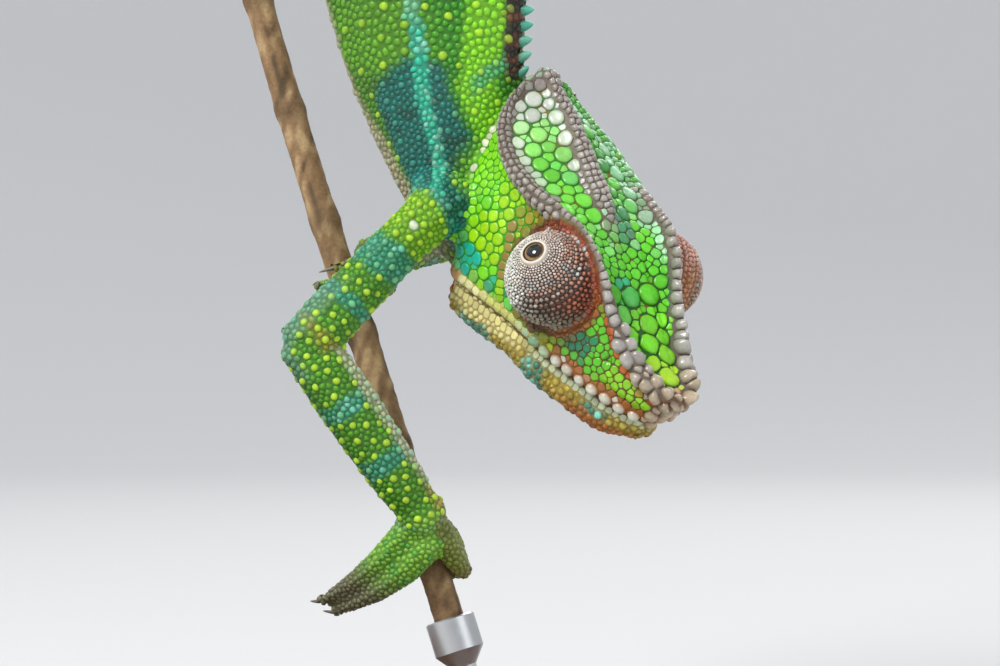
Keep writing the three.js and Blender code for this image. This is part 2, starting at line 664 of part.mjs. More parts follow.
function footLines() {
  const ends = Object.fromEntries(Object.entries(LIMBS).map(([name, limb]) => [name, vec(...limb.end)]));
  return {
    front_right: { outer: openOuterLines(), outerRoot: OPEN_HAND_ROOT_RADIUS, inner: openInnerLines() },
    front_left: {
      outer: grippingLines(ends.front_left, GRIP_HEIGHT.front_left, 1, 2),
      inner: grippingLines(ends.front_left, GRIP_HEIGHT.front_left, -1, 3),
    },
    hind_right: {
      outer: grippingLines(ends.hind_right, GRIP_HEIGHT.hind_right, 1, 3),
      inner: grippingLines(ends.hind_right, GRIP_HEIGHT.hind_right, -1, 2),
    },
    hind_left: {
      outer: grippingLines(ends.hind_left, GRIP_HEIGHT.hind_left, 1, 3),
      inner: grippingLines(ends.hind_left, GRIP_HEIGHT.hind_left, -1, 2),
    },
  };
}

// ---------------------------------------------------------------- stem and stand

function stem() {
  const radius = (t) => {
    const height = STEM_CURVE.getPointAt(t).z;
    const knot = Math.cos((height / STEM.knotEvery) * Math.PI * 2) ** STEM.knotSharpness;
    return stemRadius(height) + STEM.knotSwell * knot;
  };
  return tube(STEM_CURVE, radius, evenShares(STEM.rings), STEM.sides, false);
}

function standBase() {
  const half = { x: BASE.length / 2 - BASE.bevel, y: BASE.width / 2 - BASE.bevel };
  const round = BASE.corner - BASE.bevel;
  const outline = new THREE.Shape();
  outline.absarc(half.x - round, half.y - round, round, 0, Math.PI / 2);
  outline.absarc(-half.x + round, half.y - round, round, Math.PI / 2, Math.PI);
  outline.absarc(-half.x + round, -half.y + round, round, Math.PI, Math.PI * 1.5);
  outline.absarc(half.x - round, -half.y + round, round, Math.PI * 1.5, Math.PI * 2);
  const board = new THREE.ExtrudeGeometry(outline, {
    depth: BASE.height - 2 * BASE.bevel,
    bevelThickness: BASE.bevel,
    bevelSize: BASE.bevel,
    bevelSegments: 1,
    curveSegments: 3,
  });
  board.translate(0, 0, BASE.bevel);
  return board;
}

// The rod stands in a flange on the base and leans along the stem, whose end its cup holds.
function standRod() {
  const stemEnd = STEM_CURVE.getPointAt(0);
  const lean = STEM_CURVE.getTangentAt(0);
  const baseTop = BASE.height + GAP - ANIMAL_AT.z;
  const foot = stemEnd.clone().addScaledVector(lean, (baseTop - stemEnd.z) / lean.z);
  const length = stemEnd.distanceTo(foot) - GAP;
  const inside = ROD.cupRadius - ROD.cupWall;
  const cupStart = length - ROD.cupFloor;
  const cupEnd = length + ROD.cupDepth;
  const profile = [
    [0, 1], [ROD.radius, 1], [ROD.radius, cupStart - ROD.neckLength], [ROD.cupRadius, cupStart],
    [ROD.cupRadius, cupEnd], [inside, cupEnd], [inside, length], [0, length],
  ].map(([x, y]) => new THREE.Vector2(x, y));
  const rod = new THREE.LatheGeometry(profile, ROD.segments);
  rod.applyQuaternion(new THREE.Quaternion().setFromUnitVectors(vec(0, 1, 0), lean));
  rod.translate(foot.x, foot.y, foot.z);
  const flangeTop = ROD.flangeRadius - ROD.flangeBevel;
  const flange = new THREE.CylinderGeometry(flangeTop, ROD.flangeRadius, ROD.flangeHeight, ROD.segments);
  flange.rotateX(Math.PI / 2);
  flange.translate(foot.x, foot.y, baseTop + ROD.flangeHeight / 2);
  return join([rod, flange]);
}

// ---------------------------------------------------------------- assembly

const group = new THREE.Group();
const animal = new THREE.Group();
animal.position.copy(ANIMAL_AT);
group.add(animal);

function addNode(parent, name, geometry, material) {
  const mesh = new THREE.Mesh(geometry, material);
  mesh.name = name;
  parent.add(mesh);
  return mesh;
}

function placeHead() {
  const gazes = { right: [-1, RIGHT_GAZE], left: [1, LEFT_GAZE] };
  const skullWhole = skull();
  const skullCut = fitAgainst(skullWhole, [orbit(1), orbit(-1)], 0);
  const jawWhole = lowerJaw();
  const head = new THREE.Group();
  head.applyMatrix4(HEAD_MATRIX);
  animal.add(head);
  addNode(head, 'head', skullCut, MATERIALS.head_skin);
  addNode(head, 'jaw', jawWhole, MATERIALS.head_skin);
  for (const [side, [sign, gaze]] of Object.entries(gazes)) {
    addNode(head, `lid_${side}`, toGeometry(toManifold(turret(sign, gaze))), MATERIALS.lid_skin);
    addNode(head, `eye_${side}`, eyeball(sign, gaze), MATERIALS.eyeball);
  }
  const solids = [skullWhole, jawWhole, orbit(1), orbit(-1)];
  return solids.map((geometry) => geometry.clone().applyMatrix4(HEAD_MATRIX));
}

function placeBody(headSolids) {
  const lastRow = SPINE_ROWS.length - 1;
  const neckWhole = loft(spineRings(0, NECK_ENDS_AT_ROW, 0, 0.02));
  const trunk = loft(spineRings(NECK_ENDS_AT_ROW, lastRow, 0.01, 0));
  addNode(animal, 'neck', fitAgainst(neckWhole, headSolids), MATERIALS.body_skin);
  addNode(animal, 'trunk', trunk, MATERIALS.body_skin);
  return [...headSolids, neckWhole, trunk];
}

// Lengths of the tail, each starting a gap's width after the one before.
function placeTail() {
  const rings = tailRings();
  const last = rings.length - 1;
  TAIL_NODES.forEach((name, i) => {
    const [first, end] = [TAIL_SHARES[i], TAIL_SHARES[i + 1]].map((share) => Math.round(share * last));
    const part = rings.slice(first, end + 1).map((ring) => ring.map((p) => p.clone()));
    part[0].forEach((p, k) => {
      const step = part[1][k].clone().sub(p);
      p.add(step.setLength(Math.min(step.length() * 0.5, TAIL_GAP)));
    });
    addNode(animal, name, loft(part), MATERIALS.body_skin);
  });
}

function placeLimbs(bodySolids) {
  const feet = footLines();
  const names = { front: ['upper_arm', 'forearm'], hind: ['thigh', 'shank'] };
  for (const [place, limb] of Object.entries(LIMBS)) {
    const [end, side] = place.split('_');
    const lengths = limbLengths(limb, end === 'front' ? FRONT_RADII : HIND_RADII);
    const [upperName, lowerName] = names[end];
    addNode(animal, `${upperName}_${side}`, fitAgainst(lengths.upper, bodySolids), MATERIALS.body_skin);
    addNode(animal, `${lowerName}_${side}`, fitAgainst(lengths.lower, [lengths.upper]), MATERIALS.body_skin);
    placeFoot(place, feet[place], lengths.lower);
  }
}

function placeFoot(place, lines, lowerLimb) {
  const outerDigits = lines.outer.map((line) => digit(line, lines.outerRoot));
  const innerDigits = lines.inner.map((line) => digit(line));
  const clear = [lowerLimb, ...outerDigits];
  addNode(animal, `foot_${place}_outer`, fitAgainst(join(outerDigits), [lowerLimb]), MATERIALS.body_skin);
  addNode(animal, `foot_${place}_inner`, fitAgainst(join(innerDigits), clear), MATERIALS.body_skin);
  for (const [bundle, digits] of Object.entries({ outer: outerDigits, inner: innerDigits })) {
    lines[bundle].forEach((line, i) => {
      const horn = fitAgainst(claw(line), [digits[i]], CLAW.gap);
      addNode(animal, `claw_${place}_${bundle}_${i + 1}`, horn, MATERIALS.claw);
    });
  }
}

function placeStand() {
  addNode(animal, 'perch_stem', stem(), MATERIALS.stem_bark);
  addNode(group, 'stand_base', standBase(), MATERIALS.base_wood);
  addNode(animal, 'stand_rod', standRod(), MATERIALS.steel);
}

const headSolids = placeHead();
const bodySolids = placeBody(headSolids);
placeTail();
placeLimbs(bodySolids);
placeStand();

export default group;
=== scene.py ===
import itertools
import math

import bpy
import numpy as np
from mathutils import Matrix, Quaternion, Vector
from mathutils.bvhtree import BVHTree
from mathutils.kdtree import KDTree


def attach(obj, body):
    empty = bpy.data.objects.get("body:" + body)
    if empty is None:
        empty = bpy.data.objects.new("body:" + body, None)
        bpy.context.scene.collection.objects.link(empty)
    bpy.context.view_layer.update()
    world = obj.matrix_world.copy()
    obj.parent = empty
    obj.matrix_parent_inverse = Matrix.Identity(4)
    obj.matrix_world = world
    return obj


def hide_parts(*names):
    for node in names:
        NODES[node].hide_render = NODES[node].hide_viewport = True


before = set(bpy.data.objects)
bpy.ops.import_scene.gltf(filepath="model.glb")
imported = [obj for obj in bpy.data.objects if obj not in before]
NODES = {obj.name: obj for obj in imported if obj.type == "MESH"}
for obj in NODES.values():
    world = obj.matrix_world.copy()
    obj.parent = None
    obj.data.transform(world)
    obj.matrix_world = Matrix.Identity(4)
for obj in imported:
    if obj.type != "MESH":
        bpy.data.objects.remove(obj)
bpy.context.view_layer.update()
MM = 0.001
rng = np.random.default_rng(11)
SIDES = ("right", "left")

# ---------------------------------------------------------------- driving dimensions

# Places that the CAD model uses too: the animal's own frame and the head's frame in it.
ANIMAL_AT = np.array([34.0, 0.0, 87.0])
HEAD_AT = ANIMAL_AT + np.array([21.1, -6.0, 7.6])
HEAD_LIFT = 49.5
HEAD_TURN = -28.6
HEAD_ROLL = 2.4

# The camera looks level at the animal's own origin from its right front.
VIEW_AZIMUTH = 20.0
CAMERA_DISTANCE = 572.8
CAMERA_LENS = 114.9

# Directions as the camera sees them: to the right, and up to the left.
SEEN_RIGHT = np.array([0.94, 0.34, 0.0])
SEEN_UP_LEFT = np.array([-0.62, -0.226, 0.75])

# Five lines along the skull's left half, from the casque's tip to the snout.
SKULL_LINES = {
    "top": [
        (-36.0, 0, 20.6), (-34.4, 0, 20.9), (-29.6, 0, 20.0), (-21.8, 0, 18.0), (-14.4, 0, 15.6),
        (-7.6, 0, 13.7), (0.6, 0, 10.0), (8.4, 0, 5.8), (15.0, 0, 2.7), (21.0, 0, 0.4),
        (25.6, 0, -0.7), (28.5, 0, -2.0),
    ],
    "crest": [
        (-35.9, 2.4, 20.0), (-34.0, 6.6, 18.2), (-30.6, 10.2, 15.0), (-23.6, 12.8, 12.4),
        (-14.8, 12.7, 11.6), (-6.8, 11.9, 13.0), (0.6, 11.0, 13.2), (8.4, 9.7, 9.2),
        (15.0, 8.4, 4.3), (21.3, 6.6, 0.8), (26.4, 4.4, -1.0), (28.5, 1.8, -2.4),
    ],
    "side": [
        (-33.4, 6.0, 11.0), (-31.6, 9.6, 9.6), (-28.2, 11.2, 8.2), (-21.6, 12.2, 7.0),
        (-14.0, 11.8, 6.0), (-6.6, 11.4, 5.0), (1.0, 10.6, 3.6), (8.4, 9.5, 1.4),
        (14.8, 8.4, -1.6), (20.8, 6.7, -3.2), (25.4, 4.7, -4.2), (27.6, 2.0, -4.8),
    ],
    "cheek": [
        (-28.6, 8.0, 0), (-27.4, 12.6, -1.0), (-24.2, 14.8, -2.8), (-18.2, 15.0, -4.0),
        (-11.8, 14.4, -5.0), (-5.2, 13.4, -5.9), (1.8, 12.4, -6.4), (8.6, 10.9, -6.6),
        (14.8, 9.2, -6.8), (20.4, 6.8, -7.0), (24.4, 4.3, -7.4), (26.2, 1.9, -7.6),
    ],
    "lip": [
        (-22.6, 9.6, -12.8), (-21.6, 13.8, -13.3), (-19.4, 15.0, -13.3), (-15.2, 14.6, -12.7),
        (-9.9, 13.7, -11.9), (-4.4, 12.8, -11.2), (1.8, 11.9, -10.8), (8.6, 10.6, -10.4),
        (14.6, 8.9, -10.1), (20.0, 6.5, -9.9), (23.8, 4.0, -9.7), (25.4, 1.7, -9.5),
    ],
}
JAW_LINES = {
    "lip": [
        (-22.6, 9.6, -13.5), (-21.2, 13.8, -13.8), (-16.6, 14.8, -13.5), (-9.9, 13.7, -12.4),
        (-3.2, 12.6, -11.7), (5.0, 11.2, -11.1), (13.0, 9.0, -10.7), (19.4, 6.4, -10.4),
        (22.8, 4.0, -10.2), (24.5, 1.6, -10.0),
    ],
    "side": [
        (-22.0, 9.0, -17.4), (-20.4, 12.4, -18.0), (-15.8, 13.2, -17.8), (-9.6, 12.2, -16.8),
        (-3.0, 11.4, -15.5), (5.0, 10.2, -14.2), (13.0, 8.2, -13.2), (19.4, 5.8, -12.5),
        (22.6, 3.6, -12.0), (24.3, 1.4, -11.4),
    ],
    "chin": [
        (-20.0, 0, -21.4), (-17.4, 0, -22.4), (-13.6, 0, -22.0), (-8.4, 0, -20.6), (-2.0, 0, -18.9),
        (5.4, 0, -17.2), (13.0, 0, -15.7), (19.2, 0, -14.2), (22.3, 0, -13.1), (24.0, 0, -12.2),
    ],
}

# Eye turrets, in the head's frame.
TURRET_AT = np.array([-0.75, 12.2, 2.3])
TURRET_RADIUS = 8.3
TURRET_RISE = 0.55
ORBIT_RADIUS = 8.75
GAZE = {"right": np.array([-0.092, -0.782, 0.652]), "left": np.array([0.34, 0.93, -0.12])}
SHOULDER_SPOT = (-9.4, -18.3, 18.9)

# The back's and the belly's line from the head to the vent, and the crest's height.
SPINE = {
    "back": [
        (9.0, 0.2, 34.0), (6.6, 1.4, 40.0), (4.8, 1.0, 43.4), (4.2, 0.4, 46.4), (4.4, 0, 51.0),
        (5.0, 0, 61.0), (6.6, 0, 75.0), (7.2, 0, 92.0), (4.6, 0, 112.0), (-1.6, 0, 132.0),
        (-11.6, 0, 152.0), (-24.4, 0, 169.0), (-36.8, 0, 182.0),
    ],
    "belly": [
        (5.0, 3.6, 7.6), (-3.4, 8.0, 7.0), (-11.5, 6.0, 13.4), (-20.0, 2.6, 26.6), (-28.0, 0.4, 42.0),
        (-33.6, 0, 59.0), (-38.6, 0, 75.0), (-43.4, 0, 92.0), (-48.2, 0, 110.0), (-52.0, 0, 127.0),
        (-54.4, 0, 142.0), (-56.0, 0, 155.0), (-58.0, 0, 166.0),
    ],
    "crest": [0, 0, 0.6, 1.8, 2.6, 3.0, 3.0, 2.8, 2.5, 2.2, 1.9, 1.6, 1.4],
}

# Each limb's root, the edge of the body, its middle joint and its wrist or ankle.
LIMBS = {
    "front_right": [(-5.5, -5, 25.5), (-11, -12.5, 20.5), (-27.4, -23.6, -2.0), (-11.6, -9.2, -32.0)],
    "front_left": [(-5.5, 5, 27.5), (-8, 13, 26), (-7, 33, 23.5), (-28.6, 9.8, 14.4)],
    "hind_right": [(-38, -3, 160), (-43, -11, 159), (-52, -38, 148), (-64.2, -10.4, 164)],
    "hind_left": [(-38, 3, 158), (-43, 11, 156), (-51, 37, 146), (-61.4, 10.4, 128)],
}

# Radius of the balls that fill the wrists, the ankles and the claws' roots.
WRIST_BALL = {"front_right": 4.9, "front_left": 4.0, "hind_right": 4.0, "hind_left": 4.0}
CLAW_BALL = 1.35

STEM_AXIS = [
    (-8.2, 0, -56), (-13.0, 0, -41.9), (-25.0, 0.4, -6), (-36.1, 0, 26.2), (-46.8, -0.6, 60),
    (-55.6, 0, 92), (-61.8, 0.8, 124), (-66.4, 0, 158), (-68.2, -0.6, 190), (-68.6, 0, 222),
    (-67.6, 0.5, 247),
]
STEM_RADIUS = (2.9, 2.4)
STEM_KNOT_EVERY = 41.0
KNOT_RISE = 0.35

ROD = {
    "radius": 2.2, "flange_radius": 8.0,
    "cup_radius": 4.5, "cup_depth": 5.0, "cup_wall": 0.9, "cup_floor": 1.2,
}
BASE = {"length": 150.0, "width": 112.0, "height": 12.0, "corner": 22.0, "bevel": 1.6}

# How far the skin lies inside the solids, which is the depth of the scales over it.
COAT_DEPTH = {"head": 0.6, "body": 0.38, "foot": 0.25, "turret": 0.3}
# How far the solids are swollen so that they meet, before they are joined into one skin.
SWELL = 0.32
VOXEL = 0.6
SMOOTHING_PULLS = (0.5, -0.52)

# ---------------------------------------------------------------- small tools


def rgb(red, green, blue):
    """A linear colour from a display colour of 0 to 255."""
    value = np.array([red, green, blue]) / 255
    return np.where(value <= 0.04045, value / 12.92, ((value + 0.055) / 1.055) ** 2.4)


def unit(vectors):
    length = np.linalg.norm(vectors, axis=-1, keepdims=True)
    return vectors / np.maximum(length, 1e-12)


def ramp(value, low, high):
    """0 below low, 1 above high, smooth between. Low may be the larger."""
    share = np.clip((value - low) / (high - low), 0, 1)
    return share * share * (3 - 2 * share)


def bump(value, centre, half):
    """1 at the centre, 0 from half away on."""
    return 1 - ramp(np.abs(value - centre), half * 0.55, half)


def mix(colours, colour, weight):
    """Colours moved towards a colour by a weight, one for all or one each."""
    return colours + (colour - colours) * np.clip(weight, 0, 1).reshape(-1, 1)


def layered(colours, *layers):
    """Colours with layers of (colour, weight) mixed in, one after the other."""
    for colour, weight in layers:
        colours = mix(colours, colour, weight)
    return colours


def painted(points, colour, *layers):
    """A colour at every point, with layers of (colour, weight) mixed in."""
    return layered(np.tile(colour, (len(points), 1)), *layers)


def spline(points, shares):
    """Points of a smooth curve through a row of points, at shares 0 to 1 of the row."""
    rows = np.asarray(points, float)
    rows = rows.reshape(len(rows), -1)
    padded = np.vstack([2 * rows[0] - rows[1], rows, 2 * rows[-1] - rows[-2]])
    place = np.clip(shares, 0, 1) * (len(rows) - 1)
    low = np.minimum(place.astype(int), len(rows) - 2)
    t = (place - low)[..., None]
    a, b, c, d = (padded[low + i] for i in range(4))
    curve = 2 * b + (c - a) * t + (2 * a - 5 * b + 4 * c - d) * t**2 + (3 * b - a - 3 * c + d) * t**3
    return curve / 2


def turned(vector, axis, degrees):
    """A vector turned about an axis."""
    return np.array(Quaternion(Vector(axis), math.radians(degrees)) @ Vector(vector))


def square_to(heading, direction):
    """The part of a direction that lies square to a heading."""
    return unit(direction - heading * (direction @ heading))


def round_turn(count):
    """Angles of even steps round a circle."""
    return np.arange(count) / count * 2 * math.pi


def spokes(turn, first, second):
    """Directions at angles round an axis, from two directions across it."""
    return np.cos(turn)[:, None] * first + np.sin(turn)[:, None] * second


def length_at(points):
    """The length along a row of points at each of them."""
    return np.concatenate([[0], np.cumsum(np.linalg.norm(np.diff(points, axis=0), axis=1))])


def paced(points, pace):
    """Numbers of the points met by walking along a row of points, each with its own pace."""
    length = length_at(points)
    chosen, at = [], 0.0
    while at < length[-1]:
        chosen.append(int(np.searchsorted(length, at)))
        at += pace[chosen[-1]]
    return chosen


def head_axes():
    lift = math.radians(HEAD_LIFT)
    forward = turned((math.sin(lift), 0, -math.cos(lift)), (0, 0, 1), HEAD_TURN)
    left = turned(turned((0, 1, 0), (0, 0, 1), HEAD_TURN), forward, HEAD_ROLL)
    return np.array([forward, left, np.cross(forward, left)])


HEAD_AXES = head_axes()


def to_head(points):
    return (points - HEAD_AT) @ HEAD_AXES.T


def from_head(points):
    return points @ HEAD_AXES + HEAD_AT


def mirrored(head_points):
    """Points of the head with those of the right half moved over to the left."""
    result = head_points.copy()
    result[:, 1] = np.abs(result[:, 1])
    return result


def hash_noise(points, scale, seed=0.0):
    """Smooth noise from -1 to 1 at points, with features of about the scale's size."""
    p = points / scale + seed
    total = np.zeros(len(p))
    for turn in range(5):
        axis = unit(np.array([math.sin(turn * 2.4 + 1), math.cos(turn * 1.7), math.sin(turn * 3.1 + 2)]))
        other = unit(np.array([math.cos(turn * 1.3), math.sin(turn * 2.9 + 1), math.cos(turn * 2.2)]))
        total += np.sin(p @ axis * 5.1 + 2 * np.sin(p @ other * 3.3 + turn))
    return total / 5


def near_pairs(a, b, reach):
    """Index pairs of points of a and b closer than reach, and their distances."""
    low = np.minimum(a.min(0), b.min(0)) - reach
    cells_a = np.floor((a - low) / reach).astype(np.int64) + 1
    cells_b = np.floor((b - low) / reach).astype(np.int64) + 1
    span = np.maximum(cells_a.max(0), cells_b.max(0)) + 2

    def key(cells):
        return (cells[:, 0] * span[1] + cells[:, 1]) * span[2] + cells[:, 2]

    order = np.argsort(key(cells_b), kind="stable")
    keys = key(cells_b)[order]
    found = []
    for step in itertools.product((-1, 0, 1), repeat=3):
        wanted = key(cells_a + np.array(step))
        start = np.searchsorted(keys, wanted, "left")
        count = np.searchsorted(keys, wanted, "right") - start
        total = count.sum()
        if total == 0:
            continue
        who = np.repeat(np.arange(len(a)), count)
        place = np.arange(total) - np.repeat(np.cumsum(count) - count, count)
        other = order[np.repeat(start, count) + place]
        apart = np.linalg.norm(a[who] - b[other], axis=1)
        close = apart < reach
        found.append((who[close], other[close], apart[close]))
    return [np.concatenate(column) for column in zip(*found)]


def thin(points, size, rank):
    """Mask of the points kept so that each has room for its size, highest rank first."""
    i, j, apart = near_pairs(points, points, size.max())
    clash = (i != j) & (apart < 0.5 * (size[i] + size[j]))
    i, j = i[clash], j[clash]
    state = np.zeros(len(points), int)
    while (state == 0).any():
        best = np.full(len(points), -np.inf)
        np.maximum.at(best, i, rank[j])
        kept = (state == 0) & (rank > best)
        state[kept] = 1
        state[j[kept[i]]] = -1
        live = (state[i] == 0) & (state[j] == 0)
        i, j = i[live], j[live]
    return state == 1


# ---------------------------------------------------------------- meshes


def mesh_arrays(mesh):
    corners = np.zeros(len(mesh.vertices) * 3, np.float32)
    mesh.vertices.foreach_get("co", corners)
    mesh.calc_loop_triangles()
    triangles = np.zeros(len(mesh.loop_triangles) * 3, np.int32)
    mesh.loop_triangles.foreach_get("vertices", triangles)
    return corners.reshape(-1, 3).astype(float), triangles.reshape(-1, 3).astype(np.int64)


def node_mesh(name):
    """A CAD node's corners and triangles, with each shared corner held once."""
    corners, triangles = mesh_arrays(NODES[name].data)
    corners = corners / MM
    _, first, where = np.unique(np.round(corners * 1000), axis=0, return_index=True, return_inverse=True)
    triangles = where.ravel()[triangles]
    a, b, c = triangles.T
    return corners[first], triangles[(a != b) & (b != c) & (a != c)]


def joined(pieces):
    """Several pairs of corners and faces as one."""
    starts = np.cumsum([0] + [len(corners) for corners, _ in pieces])
    faces = [faces + start for (_, faces), start in zip(pieces, starts)]
    return np.vstack([corners for corners, _ in pieces]), np.vstack(faces)


def ring_squares(rings, around):
    """Squares between rings of corners that follow one another."""
    low = np.arange(rings - 1)[:, None] * around
    side = np.arange(around)
    after = (side + 1) % around
    high = low + around
    return np.stack([low + side, low + after, high + after, high + side], -1).reshape(-1, 4)


def halved(squares):
    return squares[:, [0, 1, 2, 0, 2, 3]].reshape(-1, 3)


def fan(tip, start, around):
    """Triangles from one corner to each side of a ring of corners."""
    side = np.arange(around)
    return np.stack([np.full(around, tip), start + side, start + (side + 1) % around], -1)


def tipped_rings(rings, around):
    """Triangles of rings that close on one corner, which follows the last ring's."""
    end = rings * around
    return np.vstack([halved(ring_squares(rings, around)), fan(end, end - around, around)])


def closed_rings(rings, around):
    """Triangles of rings closed by two more corners, at the first ring and then at the last."""
    end = rings * around
    start_cap, end_cap = fan(end, 0, around)[:, [0, 2, 1]], fan(end + 1, end - around, around)
    return np.vstack([halved(ring_squares(rings, around)), start_cap, end_cap])


def corner_normals(corners, triangles):
    a, b, c = (corners[triangles[:, i]] for i in range(3))
    face = np.cross(b - a, c - a)
    total = np.zeros_like(corners)
    for i in range(3):
        for axis in range(3):
            total[:, axis] += np.bincount(triangles[:, i], face[:, axis], len(corners))
    return unit(total)


def new_object(name, corners, faces, tint=None, smooth=True, scale=MM):
    """An object from arrays: faces is an array of triangles or of quads."""
    mesh = bpy.data.meshes.new(name)
    sides = faces.shape[1]
    mesh.vertices.add(len(corners))
    mesh.vertices.foreach_set("co", (corners * scale).astype(np.float32).ravel())
    mesh.loops.add(faces.size)
    mesh.loops.foreach_set("vertex_index", faces.astype(np.int32).ravel())
    mesh.polygons.add(len(faces))
    mesh.polygons.foreach_set("loop_start", np.arange(len(faces), dtype=np.int32) * sides)
    mesh.update(calc_edges=True)
    if smooth:
        mesh.shade_smooth()
    if tint is not None:
        layer = mesh.color_attributes.new("tint", "FLOAT_COLOR", "POINT")
        values = np.ones((len(corners), 4), np.float32)
        values[:, :3] = np.clip(tint, 0, 1)
        layer.data.foreach_set("color", values.ravel())
    thing = bpy.data.objects.new(name, mesh)
    bpy.context.scene.collection.objects.link(thing)
    return thing


def modified(name, corners, faces, kind, settings, scale):
    """The mesh that a modifier makes of corners and faces."""
    source = new_object(name, corners, faces, smooth=False, scale=scale)
    change = source.modifiers.new(kind, kind)
    for setting, value in settings.items():
        setattr(change, setting, value)
    shape = source.evaluated_get(bpy.context.evaluated_depsgraph_get())
    mesh = bpy.data.meshes.new_from_object(shape)
    bpy.data.objects.remove(source)
    return mesh


def remeshed(corners, triangles, voxel):
    """One closed surface round all the solids, as corners and triangles."""
    settings = {"mode": "VOXEL", "voxel_size": voxel}
    mesh = modified("remesh_source", corners, triangles, "REMESH", settings, 1.0)
    result = mesh_arrays(mesh)
    bpy.data.meshes.remove(mesh)
    return result


def edges_of(triangles):
    """The edges of a closed mesh, each once, as pairs of corners."""
    ends = np.concatenate([triangles[:, [0, 1]], triangles[:, [1, 2]], triangles[:, [2, 0]]])
    return ends[ends[:, 0] < ends[:, 1]]


def neighbour_sum(values, ends):
    """The sum of the neighbours' values at each corner."""
    a, b = ends.T
    return np.bincount(a, values[b], len(values)) + np.bincount(b, values[a], len(values))


def spread(values, ends, rounds):
    """Values evened out with their neighbours' along the mesh."""
    share = 1 + neighbour_sum(np.ones(len(values)), ends)
    for _ in range(rounds):
        values = (values + neighbour_sum(values, ends)) / share
    return values


def largest_piece(corners, triangles):
    """The surface without small closed pockets inside it."""
    label = np.arange(len(corners))
    a, b = edges_of(triangles).T
    while True:
        low = np.minimum(label[a], label[b])
        new = label.copy()
        np.minimum.at(new, a, low)
        np.minimum.at(new, b, low)
        new = new[new]
        new = new[new]
        if (new == label).all():
            break
        label = new
    keep = label == np.bincount(label).argmax()
    index = np.cumsum(keep) - 1
    return corners[keep], index[triangles[keep[triangles[:, 0]]]]


def smoothed(corners, triangles, rounds):
    """The surface with its facets rounded off and its size kept."""
    ends = edges_of(triangles)
    count = neighbour_sum(np.ones(len(corners)), ends)
    result = corners.copy()
    for pull in SMOOTHING_PULLS * rounds:
        for axis in range(3):
            values = result[:, axis]
            result[:, axis] = values + pull * (neighbour_sum(values, ends) / count - values)
    return result


# ---------------------------------------------------------------- flesh and where it is

FLESH = [name for name in NODES if not name.startswith(("stand", "perch", "claw", "eye"))]
SOLID_FLESH = [name for name in FLESH if not name.startswith("lid")]


def sphere(centre, radius, around=48, rings=24):
    """Corners and triangles of a ball."""
    polar = np.linspace(0, math.pi, rings + 1)[1:-1]
    turn = round_turn(around)
    grid = np.stack([
        np.outer(np.sin(polar), np.cos(turn)), np.outer(np.sin(polar), np.sin(turn)),
        np.outer(np.cos(polar), np.ones(around)),
    ], -1).reshape(-1, 3)
    corners = np.vstack([grid, [0, 0, 1], [0, 0, -1]]) * radius + centre
    return corners, closed_rings(rings - 1, around)[:, [0, 2, 1]]


def turret_centre(side):
    return from_head(TURRET_AT * np.array([1, -1 if side == "right" else 1, 1]))


def gaze_of(side):
    return unit(GAZE[side] @ HEAD_AXES)


def from_gaze(points, side):
    """Directions of points from a turret's centre, and their angles from its gaze."""
    outward = unit(points - turret_centre(side))
    return outward, np.arccos(np.clip(outward @ gaze_of(side), -1, 1))


def limb_line(limb):
    return np.array(LIMBS[limb], float) + ANIMAL_AT


def flesh_solids():
    """All the flesh swollen a little so that its solids meet, with balls in sockets and joints."""
    pieces = []
    for name in SOLID_FLESH:
        points, faces = node_mesh(name)
        pieces.append((points + corner_normals(points, faces) * SWELL, faces))
    pieces += [sphere(turret_centre(side), ORBIT_RADIUS) for side in SIDES]
    pieces += [sphere(limb_line(limb)[3], WRIST_BALL[limb]) for limb in LIMBS]
    for name in NODES:
        if name.startswith("claw"):
            points, _ = node_mesh(name)
            limb = name.removeprefix("claw_").rsplit("_", 2)[0]
            by_distance = np.argsort(np.linalg.norm(points - limb_line(limb)[3], axis=1))
            pieces.append(sphere(points[by_distance[:6]].mean(0), CLAW_BALL))
    return joined(pieces)


def flesh_tree():
    """A search tree of all the flesh's triangles and the node that each belongs to."""
    pieces = [node_mesh(name) for name in FLESH]
    corners, triangles = joined(pieces)
    tree = BVHTree.FromPolygons(corners.tolist(), triangles.tolist())
    return tree, np.repeat(np.arange(len(FLESH)), [len(faces) for _, faces in pieces])


def nearest(tree, points):
    """Nearest surface points, normals and face numbers."""
    found = [tree.find_nearest(p) for p in points.tolist()]
    places = np.array([f[0][:] for f in found])
    normals = np.array([f[1][:] for f in found])
    return places, normals, np.array([f[2] for f in found])


FLESH_TREE, FLESH_OWNER = flesh_tree()
GROUPS = {"head": 0, "jaw": 1, "lid": 2, "neck": 3, "trunk": 4, "tail": 5, "limb": 6, "foot": 7}


def group_of_node(name):
    """The group whose word the node's name starts with; the limbs' nodes have names of their own."""
    return next((group for word, group in GROUPS.items() if name.startswith(word)), GROUPS["limb"])


def in_groups(group, *words):
    return np.isin(group, [GROUPS[word] for word in words])


NODE_GROUP = np.array([group_of_node(name) for name in FLESH])


def lookup_tree(points):
    tree = KDTree(len(points))
    for index, point in enumerate(points.tolist()):
        tree.insert(point, index)
    tree.balance()
    return tree


def skull_points(rows, lines):
    """Points of the skull's left half at rows 0 to 11 and lines 0 to 4, in the head's frame."""
    curves = np.stack([spline(line, rows / 11) for line in SKULL_LINES.values()])
    low = np.clip(np.floor(lines).astype(int), 0, len(curves) - 2)
    which = np.arange(len(rows))
    start, end = curves[low, which], curves[low + 1, which]
    return start + (end - start) * (lines - low)[:, None]


